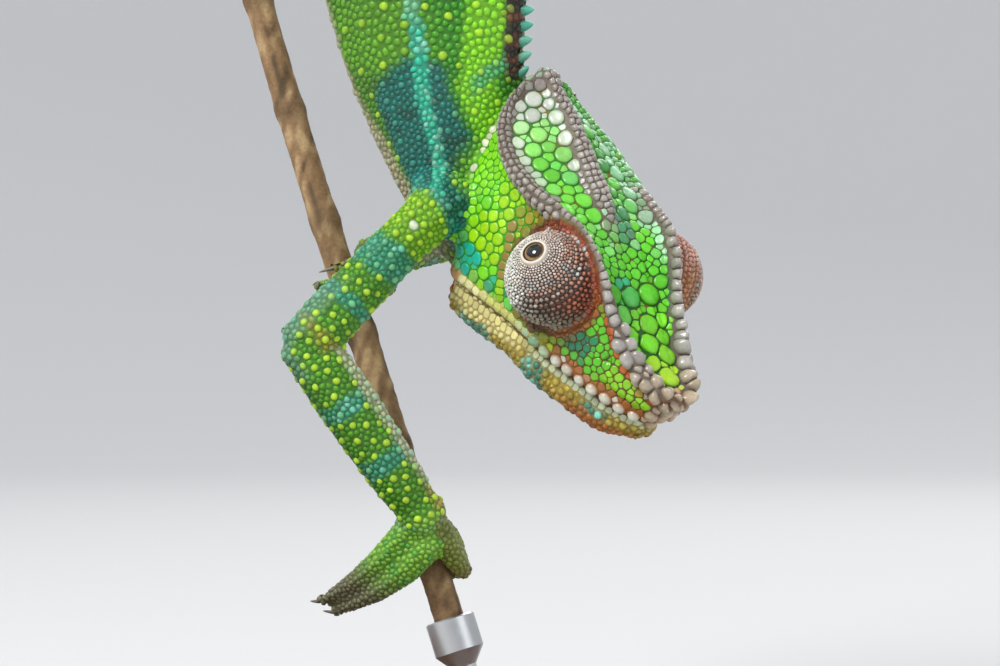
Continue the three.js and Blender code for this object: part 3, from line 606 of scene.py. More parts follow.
def beside_crest(rows, distance):
    """Places between the skull's lines at distances from the crest, outwards if positive."""
    crest = skull_points(rows, np.ones(len(rows)))
    other = skull_points(rows, np.where(distance > 0, 2.0, 0.0))
    return 1 + distance / np.linalg.norm(other - crest, axis=1)


# How far each side's ridge runs outside the skull's crest line, and the middle ridge's place to
# the left of the midline, at rows of the skull.
RIDGE_SHIFT = {
    "right": ([0, 5.3, 6.6, 7.3, 8.0, 8.8, 11], [0, 0, 0.6, 1.4, 0.7, 0.0, 0.0]),
    "left": (
        [0, 3.8, 4.8, 5.3, 6.4, 7.6, 8.6, 9.6, 11],
        [-2.4, -2.4, -1.7, -1.0, -0.6, -0.8, -1.3, -1.3, -0.7],
    ),
}
MIDDLE_SHIFT = ([0, 1.7, 2.5, 3.7, 5.1, 6], [0.5, 1.2, 1.2, -0.4, -1.4, -1.6])
SIDE_SIGN = {"right": -1, "left": 1}
# The middle and the half width of the belt of ridge beads, from the ridge's own line, at rows.
BELT_MIDDLE = ([0, 2.6, 3.4, 5.2, 5.5, 11], [0.4, 0.4, 0.9, 0.9, 0, 0])
BELT_ROWS = [0, 2.6, 3.4, 5.2, 5.6, 7.3, 8.1, 10.5]
BELT_HALF = {
    "right": (BELT_ROWS, [2.2, 2.2, 2.9, 2.7, 1.1, 1.4, 2.9, 2.9]),
    "left": (BELT_ROWS, [2.2, 2.2, 2.9, 2.7, 1.2, 1.4, 1.8, 2.4]),
}


def pressed(head_points):
    """Head points with the left edge of the forehead and the snout drawn in."""
    x, y, z = head_points.T
    below = np.interp(x, *np.array(SKULL_LINES["crest"])[:, [0, 2]].T) - z
    inward = np.interp(x, [-10, 2, 12, 18, 25], [0, 1.8, 1.9, 1.3, 0])
    inward = inward * ramp(y, 2, 7) * (1 - ramp(below, 1.5, 7.0))
    return head_points - np.array([0, 1, 0]) * inward[:, None]


def ridge_paths():
    """A search tree of the belt's middle line, both sides, and its half width at each point."""
    rows = np.linspace(0, 10.9, 240)
    points, half = [], []
    for side, sign in SIDE_SIGN.items():
        distance = np.interp(rows, *RIDGE_SHIFT[side]) - sign * np.interp(rows, *BELT_MIDDLE)
        line = skull_points(rows, beside_crest(rows, distance))
        points.append(pressed(line * np.array([1, sign, 1])))
        half.append(np.interp(rows, *BELT_HALF[side]))
    return lookup_tree(np.vstack(points)), np.concatenate(half)


def ridge_gap(head_points):
    """How far points lie outside the nearer belt of ridge beads, below 0 inside it."""
    found = [RIDGE_TREE.find(p) for p in head_points.tolist()]
    return np.array([f[2] for f in found]) - RIDGE_HALF[[f[1] for f in found]]


def line_grid(lines, rows, per_line):
    """Sample points over the sheet that the lines span, with row place and line place."""
    shares = np.linspace(0, 1, rows)
    curves = [spline(line, shares) for line in lines]
    last = len(curves) - 1
    points, place = [], []
    for low in range(len(curves)):
        for part in (np.arange(per_line) / per_line if low < last else [0.0]):
            points.append(curves[low] * (1 - part) + curves[min(low + 1, last)] * part)
            place.append(np.stack([shares * (len(lines[0]) - 1), np.full(rows, low + part)], 1))
    return np.vstack(points), np.vstack(place)


SKULL_GRID, SKULL_PLACE = line_grid(list(SKULL_LINES.values()), 160, 14)
SKULL_TREE = lookup_tree(SKULL_GRID)
RIDGE_TREE, RIDGE_HALF = ridge_paths()
SPINE_GRID, SPINE_PLACE = line_grid([SPINE["back"], SPINE["belly"]], 240, 60)
SPINE_GRID[:, 1] = 0
SPINE_TREE = lookup_tree(SPINE_GRID)


def skull_place(head_points):
    """Row 0 to 11 from the casque to the snout, and line 0 to 4 from the midline to the lip."""
    return SKULL_PLACE[[SKULL_TREE.find(p)[1] for p in mirrored(head_points).tolist()]]


def spine_place(points):
    """Row 0 to 12 from the head to the vent, and 0 at the back to 1 at the belly."""
    flat = (points - ANIMAL_AT) * np.array([1, 0, 1])
    return SPINE_PLACE[[SPINE_TREE.find(p)[1] for p in flat.tolist()]]


def limb_place(points, limb):
    """Place along a limb: 0 at its root, 1 at the body's edge, 2 at the joint and 3 at its end."""
    line = limb_line(limb)
    best = np.full(len(points), np.inf)
    place = np.zeros(len(points))
    for index in range(3):
        along = line[index + 1] - line[index]
        share = (points - line[index]) @ along / (along @ along)
        held = np.clip(share, 0, 1)
        apart = np.linalg.norm(points - line[index] - held[:, None] * along, axis=1)
        free = share if index == 2 else held
        closer = apart < best
        best = np.where(closer, apart, best)
        place = np.where(closer, index + np.maximum(free, held), place)
    return place

# ---------------------------------------------------------------- markings

GREY_LILAC = rgb(170, 163, 155)
BEIGE = rgb(182, 166, 140)
CASQUE_WHITE = rgb(198, 204, 190)
PALE_GREEN = rgb(152, 218, 118)
PLATE_GREEN = rgb(108, 214, 46)
CHEEK_GREEN = rgb(164, 220, 4)
YELLOW_GREEN = rgb(172, 224, 6)
TEAL = rgb(22, 176, 128)
PALE_TEAL = rgb(126, 208, 178)
STRIPE_TEAL = rgb(34, 186, 150)
DARK_TEAL = rgb(0, 112, 98)
BLACK_GREEN = rgb(2, 70, 50)
ORANGE = rgb(176, 112, 36)
RED_BROWN = rgb(164, 74, 42)
NECK_GREEN = rgb(134, 218, 10)
MID_GREEN = rgb(34, 146, 4)
FLANK_GREEN = rgb(72, 134, 6)
DOT_YELLOW = rgb(186, 228, 44)
ARM_GREEN = rgb(84, 158, 6)
BELLY = rgb(176, 168, 132)
RIDGE_GROOVE = rgb(104, 90, 78)


def from_turret(head_points):
    """Distance from the nearer turret's centre."""
    return np.linalg.norm(mirrored(head_points) - TURRET_AT, axis=1)


def over_lip(row, line):
    """Height above the edge of the upper lip."""
    lip, cheek = (skull_points(row, np.full(len(row), place)) for place in (4.0, 3.0))
    return np.maximum(4 - line, 0) * np.linalg.norm(cheek - lip, axis=1)


class HeadPlace:
    """Where points lie on the head, and noise at them."""

    def __init__(self, points):
        self.at = to_head(points)
        self.x, self.y, self.z = self.at.T
        self.row, self.line = skull_place(self.at).T
        self.off_middle = np.abs(self.y - np.interp(self.row, *MIDDLE_SHIFT))
        self.gap = ridge_gap(self.at)
        self.above_lip = over_lip(self.row, self.line)
        self.from_turret = from_turret(self.at)
        self.round_orbit = (1 - ramp(self.from_turret, 10.2, 11.3)) * ramp(self.line, 0.9, 1.1)
        self.broad = hash_noise(points, 7.0, 3.1)
        self.fine = hash_noise(points, 2.6, 7.7)


def crown_markings(p):
    """The green plates between the ridges, whitish along the casque's edges."""
    edge = np.minimum(p.gap, p.off_middle - 2.0)
    far = ramp(p.y, 1.0, 3.0) * (1 - ramp(p.x, -10, -6))
    far_green = painted(p.at, rgb(72, 178, 26), (rgb(40, 140, 40), ramp(p.fine, 0, 0.4)))
    tip_grey = painted(p.at, rgb(98, 122, 92), (rgb(138, 160, 134), ramp(p.fine, -0.1, 0.4)))
    at_ridge = (1 - ramp(edge, -0.1, 0.3)) * (1 - far * ramp(p.y, 3.2, 3.8)) * ramp(p.row, 0.9, 1.1)
    mint = bump(p.x, -3.5, 5.0) * ramp(p.fine, -0.1, 0.3) * (1 - ramp(np.abs(p.y + 1), 3, 5))
    mint += bump(p.x, -1, 6) * (1 - ramp(edge, 1.2, 2.4)) * ramp(p.y, 3, 6)
    teal = bump(p.x, 7.0, 2.4) * bump(p.y, -3.4, 1.9) + bump(p.x, 10.4, 2.2) * bump(p.y, -6.0, 1.9)
    teal += ramp(p.broad + 0.6 * p.fine, 0.3, 0.6) * ramp(p.x, -8, -3) * (1 - ramp(p.x, 1, 3)) * 0.5
    return painted(
        p.at, PLATE_GREEN,
        (PALE_GREEN, ramp(p.x + 3 * p.fine, -19, -27)),
        (PALE_GREEN, ramp(p.fine, 0.25, 0.5) * 0.7),
        (rgb(72, 196, 150), ramp(p.broad - 0.7 * p.fine, 0.55, 0.75) * ramp(p.x, -30, -24) * 0.2),
        (CASQUE_WHITE, (1 - ramp(edge + 0.6 * p.fine, 0.7, 1.6)) * (1 - ramp(p.x, -17, -11)) * 0.85),
        (CASQUE_WHITE, ramp(p.x + 1.5 * p.fine, -26.0, -28.5) * (1 - ramp(p.y, 1.0, 2.5))),
        (far_green, far),
        (rgb(148, 208, 160), far * (1 - ramp(edge + 0.5 * p.fine, 0.4, 1.2)) * 0.8),
        (rgb(140, 132, 126), at_ridge),
        (tip_grey, 1 - ramp(p.row, 0.9, 1.1)),
        (rgb(92, 206, 14), ramp(p.x, -7, 2)),
        (rgb(166, 224, 176), mint * 0.8),
        (TEAL, teal * 0.85),
        (rgb(24, 122, 88), bump(p.x, -4, 4) * bump(p.y, 1.8, 2.4) * 0.8),
        # Painted shadow: the hollow of the forehead beside the near ridge darkened, as the ridge shades it.
        (rgb(26, 116, 22), bump(p.line, 0.8, 0.2) * bump(p.row, 7.3, 2.0) * (p.y < 0) * 0.75),
        (rgb(112, 210, 4), ramp(p.x, 8, 13)),
        (YELLOW_GREEN, ramp(p.x, 17, 21)),
        (rgb(206, 160, 116), ramp(p.row, 9.75, 9.95)),
    )


def lore_markings(p):
    """The field between the turret, the ridge and the lip."""
    return painted(
        p.at, rgb(88, 196, 14),
        (rgb(16, 128, 84), bump(p.x, 9.5, 3.6) * bump(p.z, -3.6, 3.2)),
        (rgb(148, 214, 10), ramp(p.x, 15, 18) * 0.8),
        (rgb(160, 98, 34), 1 - ramp(p.above_lip, 3.0, 3.7)),
        (rgb(196, 92, 40), 1 - ramp(p.gap, 0.5, 1.1)),
    )


def side_markings(p):
    """The cheek, with its brown and its blue spots, and the pale edge at the neck."""
    blue = bump(p.x, -19, 4.2) * bump(p.z, -7.8, 3.4) + 1.2 * bump(p.x, -9.0, 3.2) * bump(p.z, -7.4, 2.2)
    behind_eye = bump(p.x, -12.5, 3.4) * ramp(p.z, -1, 3) * ramp(p.fine, -0.5, 0.1)
    rear_edge = np.interp(p.z, [-13, 0, 11], [-22.6, -28.6, -33.4])
    return painted(
        p.at, CHEEK_GREEN,
        (NECK_GREEN, ramp(p.x, -19, -23)),
        (rgb(96, 208, 36), ramp(p.broad + 0.4 * p.fine, 0.25, 0.5) * 0.7),
        (rgb(158, 128, 42), behind_eye * 0.85),
        (rgb(20, 172, 150), blue * 1.1),
        (rgb(206, 208, 176), 1 - ramp(p.x - rear_edge, 0.7, 1.5)),
        (lore_markings(p), ramp(p.x, 4.5, 7)),
    )


def orbit_markings(p):
    """The ring round the turret, red-brown above."""
    above = ramp(p.z - TURRET_AT[2], -3.5, 0.5)
    return painted(
        p.at, rgb(104, 70, 34),
        (rgb(158, 92, 38), ramp(p.x, 2, 6)),
        (RED_BROWN, above * ramp(p.x, -11, -8)),
        (ORANGE, ramp(p.fine, 0.1, 0.5) * 0.5),
    )


def lip_markings(p):
    """The upper lip's scales, from the corner of the mouth to the snout."""
    return painted(
        p.at, rgb(226, 220, 164),
        (rgb(206, 206, 110), ramp(p.x, -14, -9)),
        (rgb(176, 206, 166), ramp(p.x, -5, 0)),
        (rgb(108, 174, 140), bump(p.x, 2.2, 2.4) * 0.8),
        (rgb(206, 208, 192), ramp(p.x, 4, 7)),
        (rgb(176, 104, 58), 1 - ramp(p.x, -19.5, -18.0)),
    )


def head_markings(points):
    """Colours of the head's skin by place."""
    p = HeadPlace(points)
    lip = (1 - ramp(p.above_lip, 2.1, 2.5)) * ramp(p.line, 2.5, 3.0)
    return layered(
        crown_markings(p),
        (side_markings(p), ramp(p.line, 0.97, 1.07)),
        (orbit_markings(p), p.round_orbit),
        (lip_markings(p), lip),
        (BEIGE, ramp(p.row, 10.0, 10.4) * (1 - lip)),
    )


def jaw_edge(x):
    """Height of the lower jaw's lip at places along the head."""
    line = JAW_LINES["lip"]
    return spline(line, (x - line[0][0]) / (line[-1][0] - line[0][0]))[:, 2]


# Teal patches on the lower jaw: middle, half length, and how far below the lip they start.
JAW_PATCHES = ((-11.5, 5.0, 1.9), (4.4, 3.6, 1.3), (17.6, 3.0, 1.5))


def jaw_markings(points):
    """The lower jaw: mottled yellow with teal patches, orange in front, paler along the lip."""
    h = to_head(points)
    x = h[:, 0]
    below = jaw_edge(x) - h[:, 2]
    noise = hash_noise(points, 6.5, 9.7)
    fine = hash_noise(points, 2.0, 1.7)
    patches = []
    for centre, half, low in JAW_PATCHES:
        patch = bump(x + 0.8 * noise, centre, half) * ramp(below + 0.5 * noise, low, low + 0.6)
        patches += [(rgb(34, 124, 104), patch), (rgb(120, 200, 180), patch * ramp(fine, -0.1, 0.3))]
    rear = (1 - ramp(below, 2.4, 3.0)) * (1 - ramp(x, -3, 2)) * ramp(x, -20, -18)
    return painted(
        points, rgb(158, 140, 40),
        (rgb(206, 184, 76), ramp(fine, -0.1, 0.4)),
        (rgb(122, 108, 28), ramp(below, 4.0, 6.5)),
        *patches,
        (rgb(168, 94, 34), ramp(x, 8, 15) * ramp(below + 0.5 * fine, 2.6, 3.4)),
        (rgb(172, 100, 58), (1 - ramp(x, -19.5, -17.5)) * (1 - ramp(below, 3.0, 4.5))),
        (rgb(226, 216, 146), rear),
        (rgb(186, 196, 158), (1 - ramp(below, 1.0, 1.4)) * ramp(x, -2, 5)),
    )


# Rows and shares from back to belly that the pale stripe along the flank follows.
STRIPE_ROWS = [1.6, 2.47, 3.05, 3.85, 4.43, 6.0, 12.0]
STRIPE_ACROSS = [0.70, 0.62, 0.55, 0.49, 0.465, 0.45, 0.42]


BAR_EVERY = 1.9
CREST_BAR_EVERY = 0.45
TAIL_BAND_EVERY = 19.0


def trunk_markings(points):
    """The neck and the trunk: bars, a dark patch, the pale stripe, the belly and the crest's foot."""
    row, across = spine_place(points).T
    broad = hash_noise(points, 15.0, 1.3)
    fine = hash_noise(points, 3.0, 5.2)
    wavy = across + 0.012 * broad + 0.008 * fine
    bars = 0.5 + 0.5 * np.cos((row - 3.3 - 0.5 * across) * 2 * math.pi / BAR_EVERY + 0.5 * broad)
    front = 1 - ramp(row + 1.1 * np.abs(wavy - 0.55), 4.1, 4.35)
    patch = front * ramp(wavy, 0.33, 0.4) * (1 - ramp(wavy + 0.04 * (row - 3), 0.8, 0.86))
    shift = wavy - np.interp(row, [2.2, 3.4, 4.5, 5.2], [0.24, 0.22, 0.13, 0.1])
    gap = bump(row + 2.0 * (wavy - 0.15), 3.5, 0.3) * (1 - ramp(wavy, 0.22, 0.28))
    from_stripe = wavy - np.interp(row, STRIPE_ROWS, STRIPE_ACROSS)
    stripe = bump(from_stripe, 0, 0.052 + 0.012 * fine.clip(-1, 1))
    stripe_colour = painted(
        points, STRIPE_TEAL, (PALE_TEAL, ramp(fine, 0.0, 0.5)),
        (rgb(130, 190, 130), ramp(row, 4.4, 4.9) * 0.7),
    )
    belly_from = np.interp(row, [2.0, 3.4, 4.4], [0.80, 0.83, 0.90])
    barred = 0.5 + 0.5 * np.sin(row * 2 * math.pi / CREST_BAR_EVERY)
    crest_colour = painted(points, rgb(44, 34, 18), (rgb(112, 62, 34), ramp(barred, 0.4, 0.8)))
    return painted(
        points, FLANK_GREEN,
        (rgb(98, 170, 8), (1 - ramp(bars, 0.15, 0.5)) * 0.75),
        (MID_GREEN, (1 - ramp(wavy, 0.3, 0.5)) * 0.7),
        (DARK_TEAL, ramp(bars, 0.62, 0.85) * ramp(row, 4.2, 5.0) * (1 - ramp(wavy, 0.8, 0.9)) * 0.85),
        (DARK_TEAL, patch),
        (BLACK_GREEN, patch * ramp(fine + 0.6 * broad, 0.1, 0.5) * 0.7),
        (rgb(14, 150, 136), patch * ramp(wavy, 0.66, 0.74) * (1 - ramp(row, 2.6, 3.0)) * 0.8),
        (NECK_GREEN, bump(shift, 0, 0.13) * (1 - ramp(row, 4.9, 5.5))),
        (NECK_GREEN, (1 - ramp(row, 1.9, 2.6)) * (1 - ramp(wavy, 0.5, 0.6))),
        (rgb(70, 176, 110), gap * 0.8),
        (stripe_colour, stripe * ramp(row, 1.7, 2.2) * (1 - ramp(row, 9.8, 11))),
        (BELLY, ramp(wavy - belly_from, 0.0, 0.06) * ramp(row, 1.6, 2.2)),
        (crest_colour, (1 - ramp(wavy, 0.05, 0.075)) * ramp(row, 2.6, 3.2)),
        (rgb(92, 104, 70), (1 - ramp(wavy, 0.03, 0.08)) * (1 - ramp(row, 1.6, 2.6))),
    )


def tail_markings(points, length):
    bands = 0.5 + 0.5 * np.cos(length * 2 * math.pi / TAIL_BAND_EVERY)
    return painted(
        points, FLANK_GREEN,
        (DARK_TEAL, ramp(bands, 0.5, 0.8) * 0.85),
        (rgb(122, 178, 30), (1 - ramp(bands, 0.15, 0.45)) * 0.8),
        (rgb(96, 110, 60), ramp(length, 170, 235) * 0.6),
    )


# Teal bands round a limb: place along it and half width.
LIMB_BANDS = ((1.33, 0.13), (1.66, 0.055), (2.34, 0.06), (2.67, 0.07))


def limb_markings(points, limb):
    """A limb: green with teal bands, pale on the inner side of its lower length."""
    place = limb_place(points, limb)
    noise = hash_noise(points, 5.0, 4.4)
    fine = hash_noise(points, 1.8, 2.1)
    line = limb_line(limb)
    inner = square_to(unit(line[3] - line[2]), SEEN_RIGHT + [0, 0, 0.1])
    above = square_to(unit(line[2] - line[1]), SEEN_UP_LEFT)
    offset = (points - line[2]) @ inner
    lower = place > 2
    outer = ramp((points - line[2]) @ above, 0.5, 4.0) * ramp(place, 1.5, 1.75) * (place < 2.05)
    bands = []
    for centre, half in LIMB_BANDS:
        band = bump(place + 0.025 * noise, centre, half)
        bands += [(rgb(40, 152, 118), band * 0.85), (PALE_TEAL, band * ramp(fine, 0.2, 0.6) * 0.6)]
    colours = painted(
        points, ARM_GREEN,
        (rgb(52, 128, 6), ramp(fine, 0.0, 0.5) * 0.6),
        (rgb(128, 192, 10), 1 - ramp(place, 1.1, 1.3)),
        *bands,
        (rgb(112, 160, 130), outer * 0.85),
        (rgb(104, 158, 122), bump(place, 2.02, 0.14) * ramp(-offset, 1.0, 3.5) * 0.85),
        (rgb(168, 150, 40), bump(place, 1.98, 0.12) * ramp(offset, 1.0, 3.5) * 0.7),
        (rgb(18, 92, 20), ramp(-offset, 2.6, 4.6) * lower * 0.7),
        (rgb(196, 204, 160), ramp(offset, 3.2, 4.6) * lower * (1 - ramp(place, 2.9, 3.0))),
        (rgb(178, 156, 62), ramp(offset, 2.4, 4.2) * ramp(place, 2.84, 2.95)),
        (rgb(140, 200, 66), ramp(place, 2.95, 3.05) * (1 - ramp(offset, 2.4, 4.2))),
    )
    return mix(trunk_markings(points), colours, ramp(place, 0.72, 0.92))


def foot_markings(points, limb):
    end = limb_line(limb)[3]
    away = np.linalg.norm(points - end, axis=1)
    return painted(
        points, rgb(132, 194, 56),
        (rgb(84, 170, 60), ramp(hash_noise(points, 2.0, 3.3), 0.1, 0.5)),
        # Painted sheen: the upper side of the hands and feet paler teal.
        (rgb(150, 206, 160), ramp(points[:, 2] - end[2], -4, -1) * 0.5),
        (rgb(118, 116, 82), ramp(away, 10, 20)),
    )


def markings(points, node, length):
    """Colours of the skin at points, each on the CAD node with that number."""
    colours = np.zeros((len(points), 3))
    group = NODE_GROUP[node]
    places = [
        (in_groups(group, "head", "lid"), head_markings, ()),
        (in_groups(group, "jaw"), jaw_markings, ()),
        (in_groups(group, "neck", "trunk"), trunk_markings, ()),
        (in_groups(group, "tail"), tail_markings, (length[in_groups(group, "tail")],)),
    ]
    for limb in LIMBS:
        places.append((np.isin(node, limb_nodes(limb)), limb_markings, (limb,)))
        places.append((np.isin(node, foot_nodes(limb)), foot_markings, (limb,)))
    for mask, paint, more in places:
        if mask.any():
            colours[mask] = paint(points[mask], *more)
    inner = [i for i, name in enumerate(FLESH) if name.startswith("foot_") and name.endswith("_inner")]
    return mix(colours, rgb(136, 122, 50), np.isin(node, inner) * 0.7)


def shaded_grooves(points, node, colours):
    """Colours of the bare skin between the scales, from the colours of the scales there: partly the skin's
    own hues there, partly darkened as painted shade that falls between the scales.
    """
    # Painted shade: the scales' colours darkened for the skin between them.
    result = colours * 0.52
    on_jaw = in_groups(NODE_GROUP[node], "jaw")
    result[on_jaw] = mix(colours[on_jaw] * 0.6, rgb(146, 118, 46), 0.5)
    on_head = in_groups(NODE_GROUP[node], "head")
    p = HeadPlace(points[on_head])
    on_side = ramp(p.line, 1.05, 1.2)
    far = ramp(p.y, 3.2, 3.8) * (1 - ramp(p.x, -15, -11))
    lip_tone = painted(p.at, rgb(196, 186, 112), (rgb(158, 94, 44), ramp(p.x, 2, 6)))
    result[on_head] = painted(
        p.at, rgb(54, 120, 34),
        (rgb(24, 84, 16), ramp(p.x, -6, 0)),
        (rgb(150, 76, 34), ramp(hash_noise(p.at, 3.0, 2.2), 0.25, 0.6) * 0.7),
        (rgb(44, 156, 16), on_side * (1 - ramp(p.x, 2, 6))),
        (rgb(104, 62, 28), on_side * ramp(p.x, 2, 6) * 0.8),
        (RIDGE_GROOVE, (1 - ramp(p.off_middle, 1.9, 2.4)) * (1 - ramp(p.row, 5.4, 5.9)) * (p.line < 0.9)),
        (RIDGE_GROOVE, (1 - ramp(p.gap, -0.1, 0.4)) * (1 - far)),
        (rgb(116, 84, 60), ramp(p.row, 9.9, 10.3)),
        (lip_tone, (1 - ramp(p.above_lip, 2.2, 2.6)) * ramp(p.line, 2.5, 3.0)),
        # Painted shade: darker still round the orbits.
        (colours[on_head] * 0.55, p.round_orbit),
    )
    return result


LIMB_WORDS = {
    "front_right": ("upper_arm_right", "forearm_right"), "front_left": ("upper_arm_left", "forearm_left"),
    "hind_right": ("thigh_right", "shank_right"), "hind_left": ("thigh_left", "shank_left"),
}


def limb_nodes(limb):
    return [i for i, name in enumerate(FLESH) if name in LIMB_WORDS[limb]]


def foot_nodes(limb):
    return [i for i, name in enumerate(FLESH) if name.startswith("foot_" + limb)]


# ---------------------------------------------------------------- skin


def evened(normals, ends, rounds):
    """Normals evened out along the mesh."""
    return unit(np.stack([spread(normals[:, axis], ends, rounds) for axis in range(3)], 1))


def length_along(corners, ends, start):
    """Shortest way over the mesh from the start corners."""
    a, b = ends.T
    step = np.linalg.norm(corners[a] - corners[b], axis=1)
    length = np.where(start, 0.0, np.inf)
    for _ in range(900):
        new = length.copy()
        np.minimum.at(new, a, length[b] + step)
        np.minimum.at(new, b, length[a] + step)
        if np.array_equal(new, length):
            break
        length = new
    return length


MOUTH = np.vstack([spline(SKULL_LINES["lip"], np.linspace(0, 1, 90)), [(26.0, 0.4, -9.4)]])
MOUTH = MOUTH + np.array([0, 0, -0.3])
MOUTH_TREE = lookup_tree(np.vstack([MOUTH, MOUTH * np.array([1, -1, 1])]))
NOSTRIL_AT = np.array([15.8, 8.4, -2.4])
LID_FOLD_EVERY = 1.7


def mouth_distance(points):
    return np.array([MOUTH_TREE.find(p)[2] for p in to_head(points).tolist()])


def turret_radius(polar):
    """The lids' radius at an angle from the gaze, with low folds round them further out."""
    radius = TURRET_RADIUS + TURRET_RISE * np.maximum(0, np.cos(polar)) ** 4 - COAT_DEPTH["turret"]
    folds = np.sin(polar * TURRET_RADIUS * 2 * math.pi / LID_FOLD_EVERY) * 0.1
    return radius + folds * ramp(polar, 0.75, 1.2)


class Skin:
    """The animal's skin: its surface, and what each corner of it belongs to."""

    def __init__(self):
        corners, triangles = largest_piece(*remeshed(*flesh_solids(), VOXEL))
        corners = smoothed(corners, triangles, 22)
        ends = edges_of(triangles)
        normals = corner_normals(corners, triangles)
        self.node = FLESH_OWNER[nearest(FLESH_TREE, corners)[2]]
        group = NODE_GROUP[self.node]
        on_head = in_groups(group, "head", "jaw", "lid")
        self.groove = np.zeros(len(corners))
        self.groove[on_head] = 1 - ramp(mouth_distance(corners[on_head]), 0.15, 0.6)
        depth = np.where(on_head, COAT_DEPTH["head"], COAT_DEPTH["body"])
        depth = np.where(group == GROUPS["foot"], COAT_DEPTH["foot"], depth)
        depth = spread(depth + SWELL, ends, 12) + self.groove * 0.35
        corners = self.without_crest(corners - normals * depth[:, None], group)
        soft = evened(normals, ends, 14)
        corners = self.with_ridges(corners, soft, np.flatnonzero(group == GROUPS["head"]))
        corners = self.with_full_jaw(corners, soft, np.flatnonzero(group == GROUPS["jaw"]))
        corners = self.with_slim_shoulder(corners)
        self.turret = np.zeros(len(corners))
        for side in SIDES:
            corners = self.with_turret(corners, side, on_head)
        self.corners, self.triangles, self.group = corners, triangles, group
        normals = corner_normals(corners, triangles)
        self.even_normals = evened(normals, ends, 3)
        self.soft_normals = evened(normals, ends, 16)
        tail = group == GROUPS["tail"]
        touching = np.zeros(len(corners), bool)
        across = tail[ends[:, 0]] != tail[ends[:, 1]]
        touching[ends[across].ravel()] = True
        inside = tail[ends[:, 0]] & tail[ends[:, 1]]
        self.length = length_along(corners, ends[inside], touching & tail)
        self.length[~np.isfinite(self.length)] = 0
        self.tree = BVHTree.FromPolygons(corners.tolist(), triangles.tolist())
        self.finder = lookup_tree(corners)

    @staticmethod
    def without_crest(corners, group):
        """The back's narrow raised line pressed flat, where the cones stand later."""
        body = np.flatnonzero(in_groups(group, "neck", "trunk"))
        place = spine_place(corners[body])
        near = (place[:, 1] < 0.06) & (place[:, 0] > 1.5)
        chosen = body[near]
        share = place[near, 0] / 12
        back = spline(SPINE["back"], share) + ANIMAL_AT
        rise = unit(back - spline(SPINE["belly"], share) - ANIMAL_AT)
        height = ((corners[chosen] - back) * rise).sum(1)
        over = np.maximum(height + 0.5, 0)
        corners[chosen] -= rise * over[:, None]
        return corners

    @staticmethod
    def with_ridges(corners, soft, chosen):
        """The head's raised ridges, its hollow fields, its lip, the orbits' edges and the nostrils."""
        p = HeadPlace(corners[chosen])
        row, line = p.row, p.line
        lift = np.zeros(len(row))
        for side, strength in (("right", 1.2), ("left", 0.5)):
            rows = np.linspace(0, 10.9, 200)
            line_at = beside_crest(rows, np.interp(rows, *RIDGE_SHIFT[side]))
            path = lookup_tree(skull_points(rows, line_at) * np.array([1, SIDE_SIGN[side], 1]))
            apart = np.array([path.find(place)[2] for place in p.at.tolist()])
            wide = np.interp(row, [0, 5, 5.6, 7.4, 8.2, 10.5], [2.0, 2.2, 1.1, 1.4, 2.5, 2.6])
            rise = np.interp(row, [0, 5, 7, 8.2, 10.2, 11], [0.4, 0.5, 0.7, strength, strength, 0.2])
            lift += rise * np.exp(-((apart / wide) ** 4))
        lift += 0.9 * np.exp(-((p.off_middle / 1.9) ** 4)) * (line < 0.9) * (1 - ramp(row, 5.0, 5.9))
        far_side = np.interp(row, [1.0, 2.8, 3.8, 5.2], [0, 1.2, 1.2, 0])
        lift += far_side * bump(line, 1.0, 0.8) * (p.y > 0)
        lift -= 0.35 * bump(line, 0.5, 0.42) * (1 - ramp(row, 5, 6)) * ramp(row, 0.8, 1.4)
        lift += 0.6 * (1 - ramp(row, 0.3, 1.6)) * (1 - ramp(line, 1.0, 1.6))
        lift -= 0.8 * bump(line, 0.6, 0.4) * bump(row, 7.2, 2.6)
        lip = np.exp(-(((p.above_lip - 1.1) / 0.9) ** 2)) * (line > 2.5)
        lift += 0.45 * lip * (1 - ramp(p.x, 0, 4))
        lift += 0.5 * np.exp(-(((p.from_turret - 10.1) / 0.55) ** 2)) * (line > 1.0)
        lift -= 0.3 * np.exp(-(((p.from_turret - 9.2) / 0.4) ** 2)) * (line > 1.0)
        nostril = np.linalg.norm(mirrored(p.at) - NOSTRIL_AT, axis=1)
        lift -= 1.3 * (1 - ramp(nostril, 0.3, 1.0))
        corners[chosen] += (pressed(p.at) - p.at) @ HEAD_AXES
        corners[chosen] += soft[chosen] * lift[:, None]
        return corners

    @staticmethod
    def with_full_jaw(corners, soft, chosen):
        """The lower jaw rounded out below its lip."""
        h = to_head(corners[chosen])
        full = 1.1 + 1.3 * ramp(h[:, 0], -5, 4) * (1 - ramp(h[:, 0], 17, 23))
        lift = full * ramp(jaw_edge(h[:, 0]) - h[:, 2], 0.6, 3.2)
        corners[chosen] += soft[chosen] * (lift * ramp(h[:, 0], -22, -17))[:, None]
        return corners

    @staticmethod
    def with_slim_shoulder(corners):
        """The right shoulder's upper edge drawn in, and its elbow's point let out a little."""
        line = limb_line("front_right")
        place = limb_place(corners, "front_right")
        along = line[2] - line[1]
        share = np.clip(((corners - line[1]) @ along) / (along @ along), -0.6, 1.2)
        outward = corners - (line[1] + along * share[:, None])
        near = np.linalg.norm(outward, axis=1) < 14
        upper = np.clip((outward @ SEEN_UP_LEFT) / 9.0, 0, 1) * near
        amount = np.interp(place, [0.5, 0.95, 1.15, 1.45, 1.8], [0.0, 3.6, 3.6, 2.2, 0.0])
        corners = corners - SEEN_UP_LEFT * (upper * amount)[:, None]
        elbow = np.linalg.norm(corners - (line[2] + np.array([-4.5, -1.6, 0.5])), axis=1)
        return corners - SEEN_RIGHT * (1.1 * (1 - ramp(elbow, 2, 8)))[:, None]

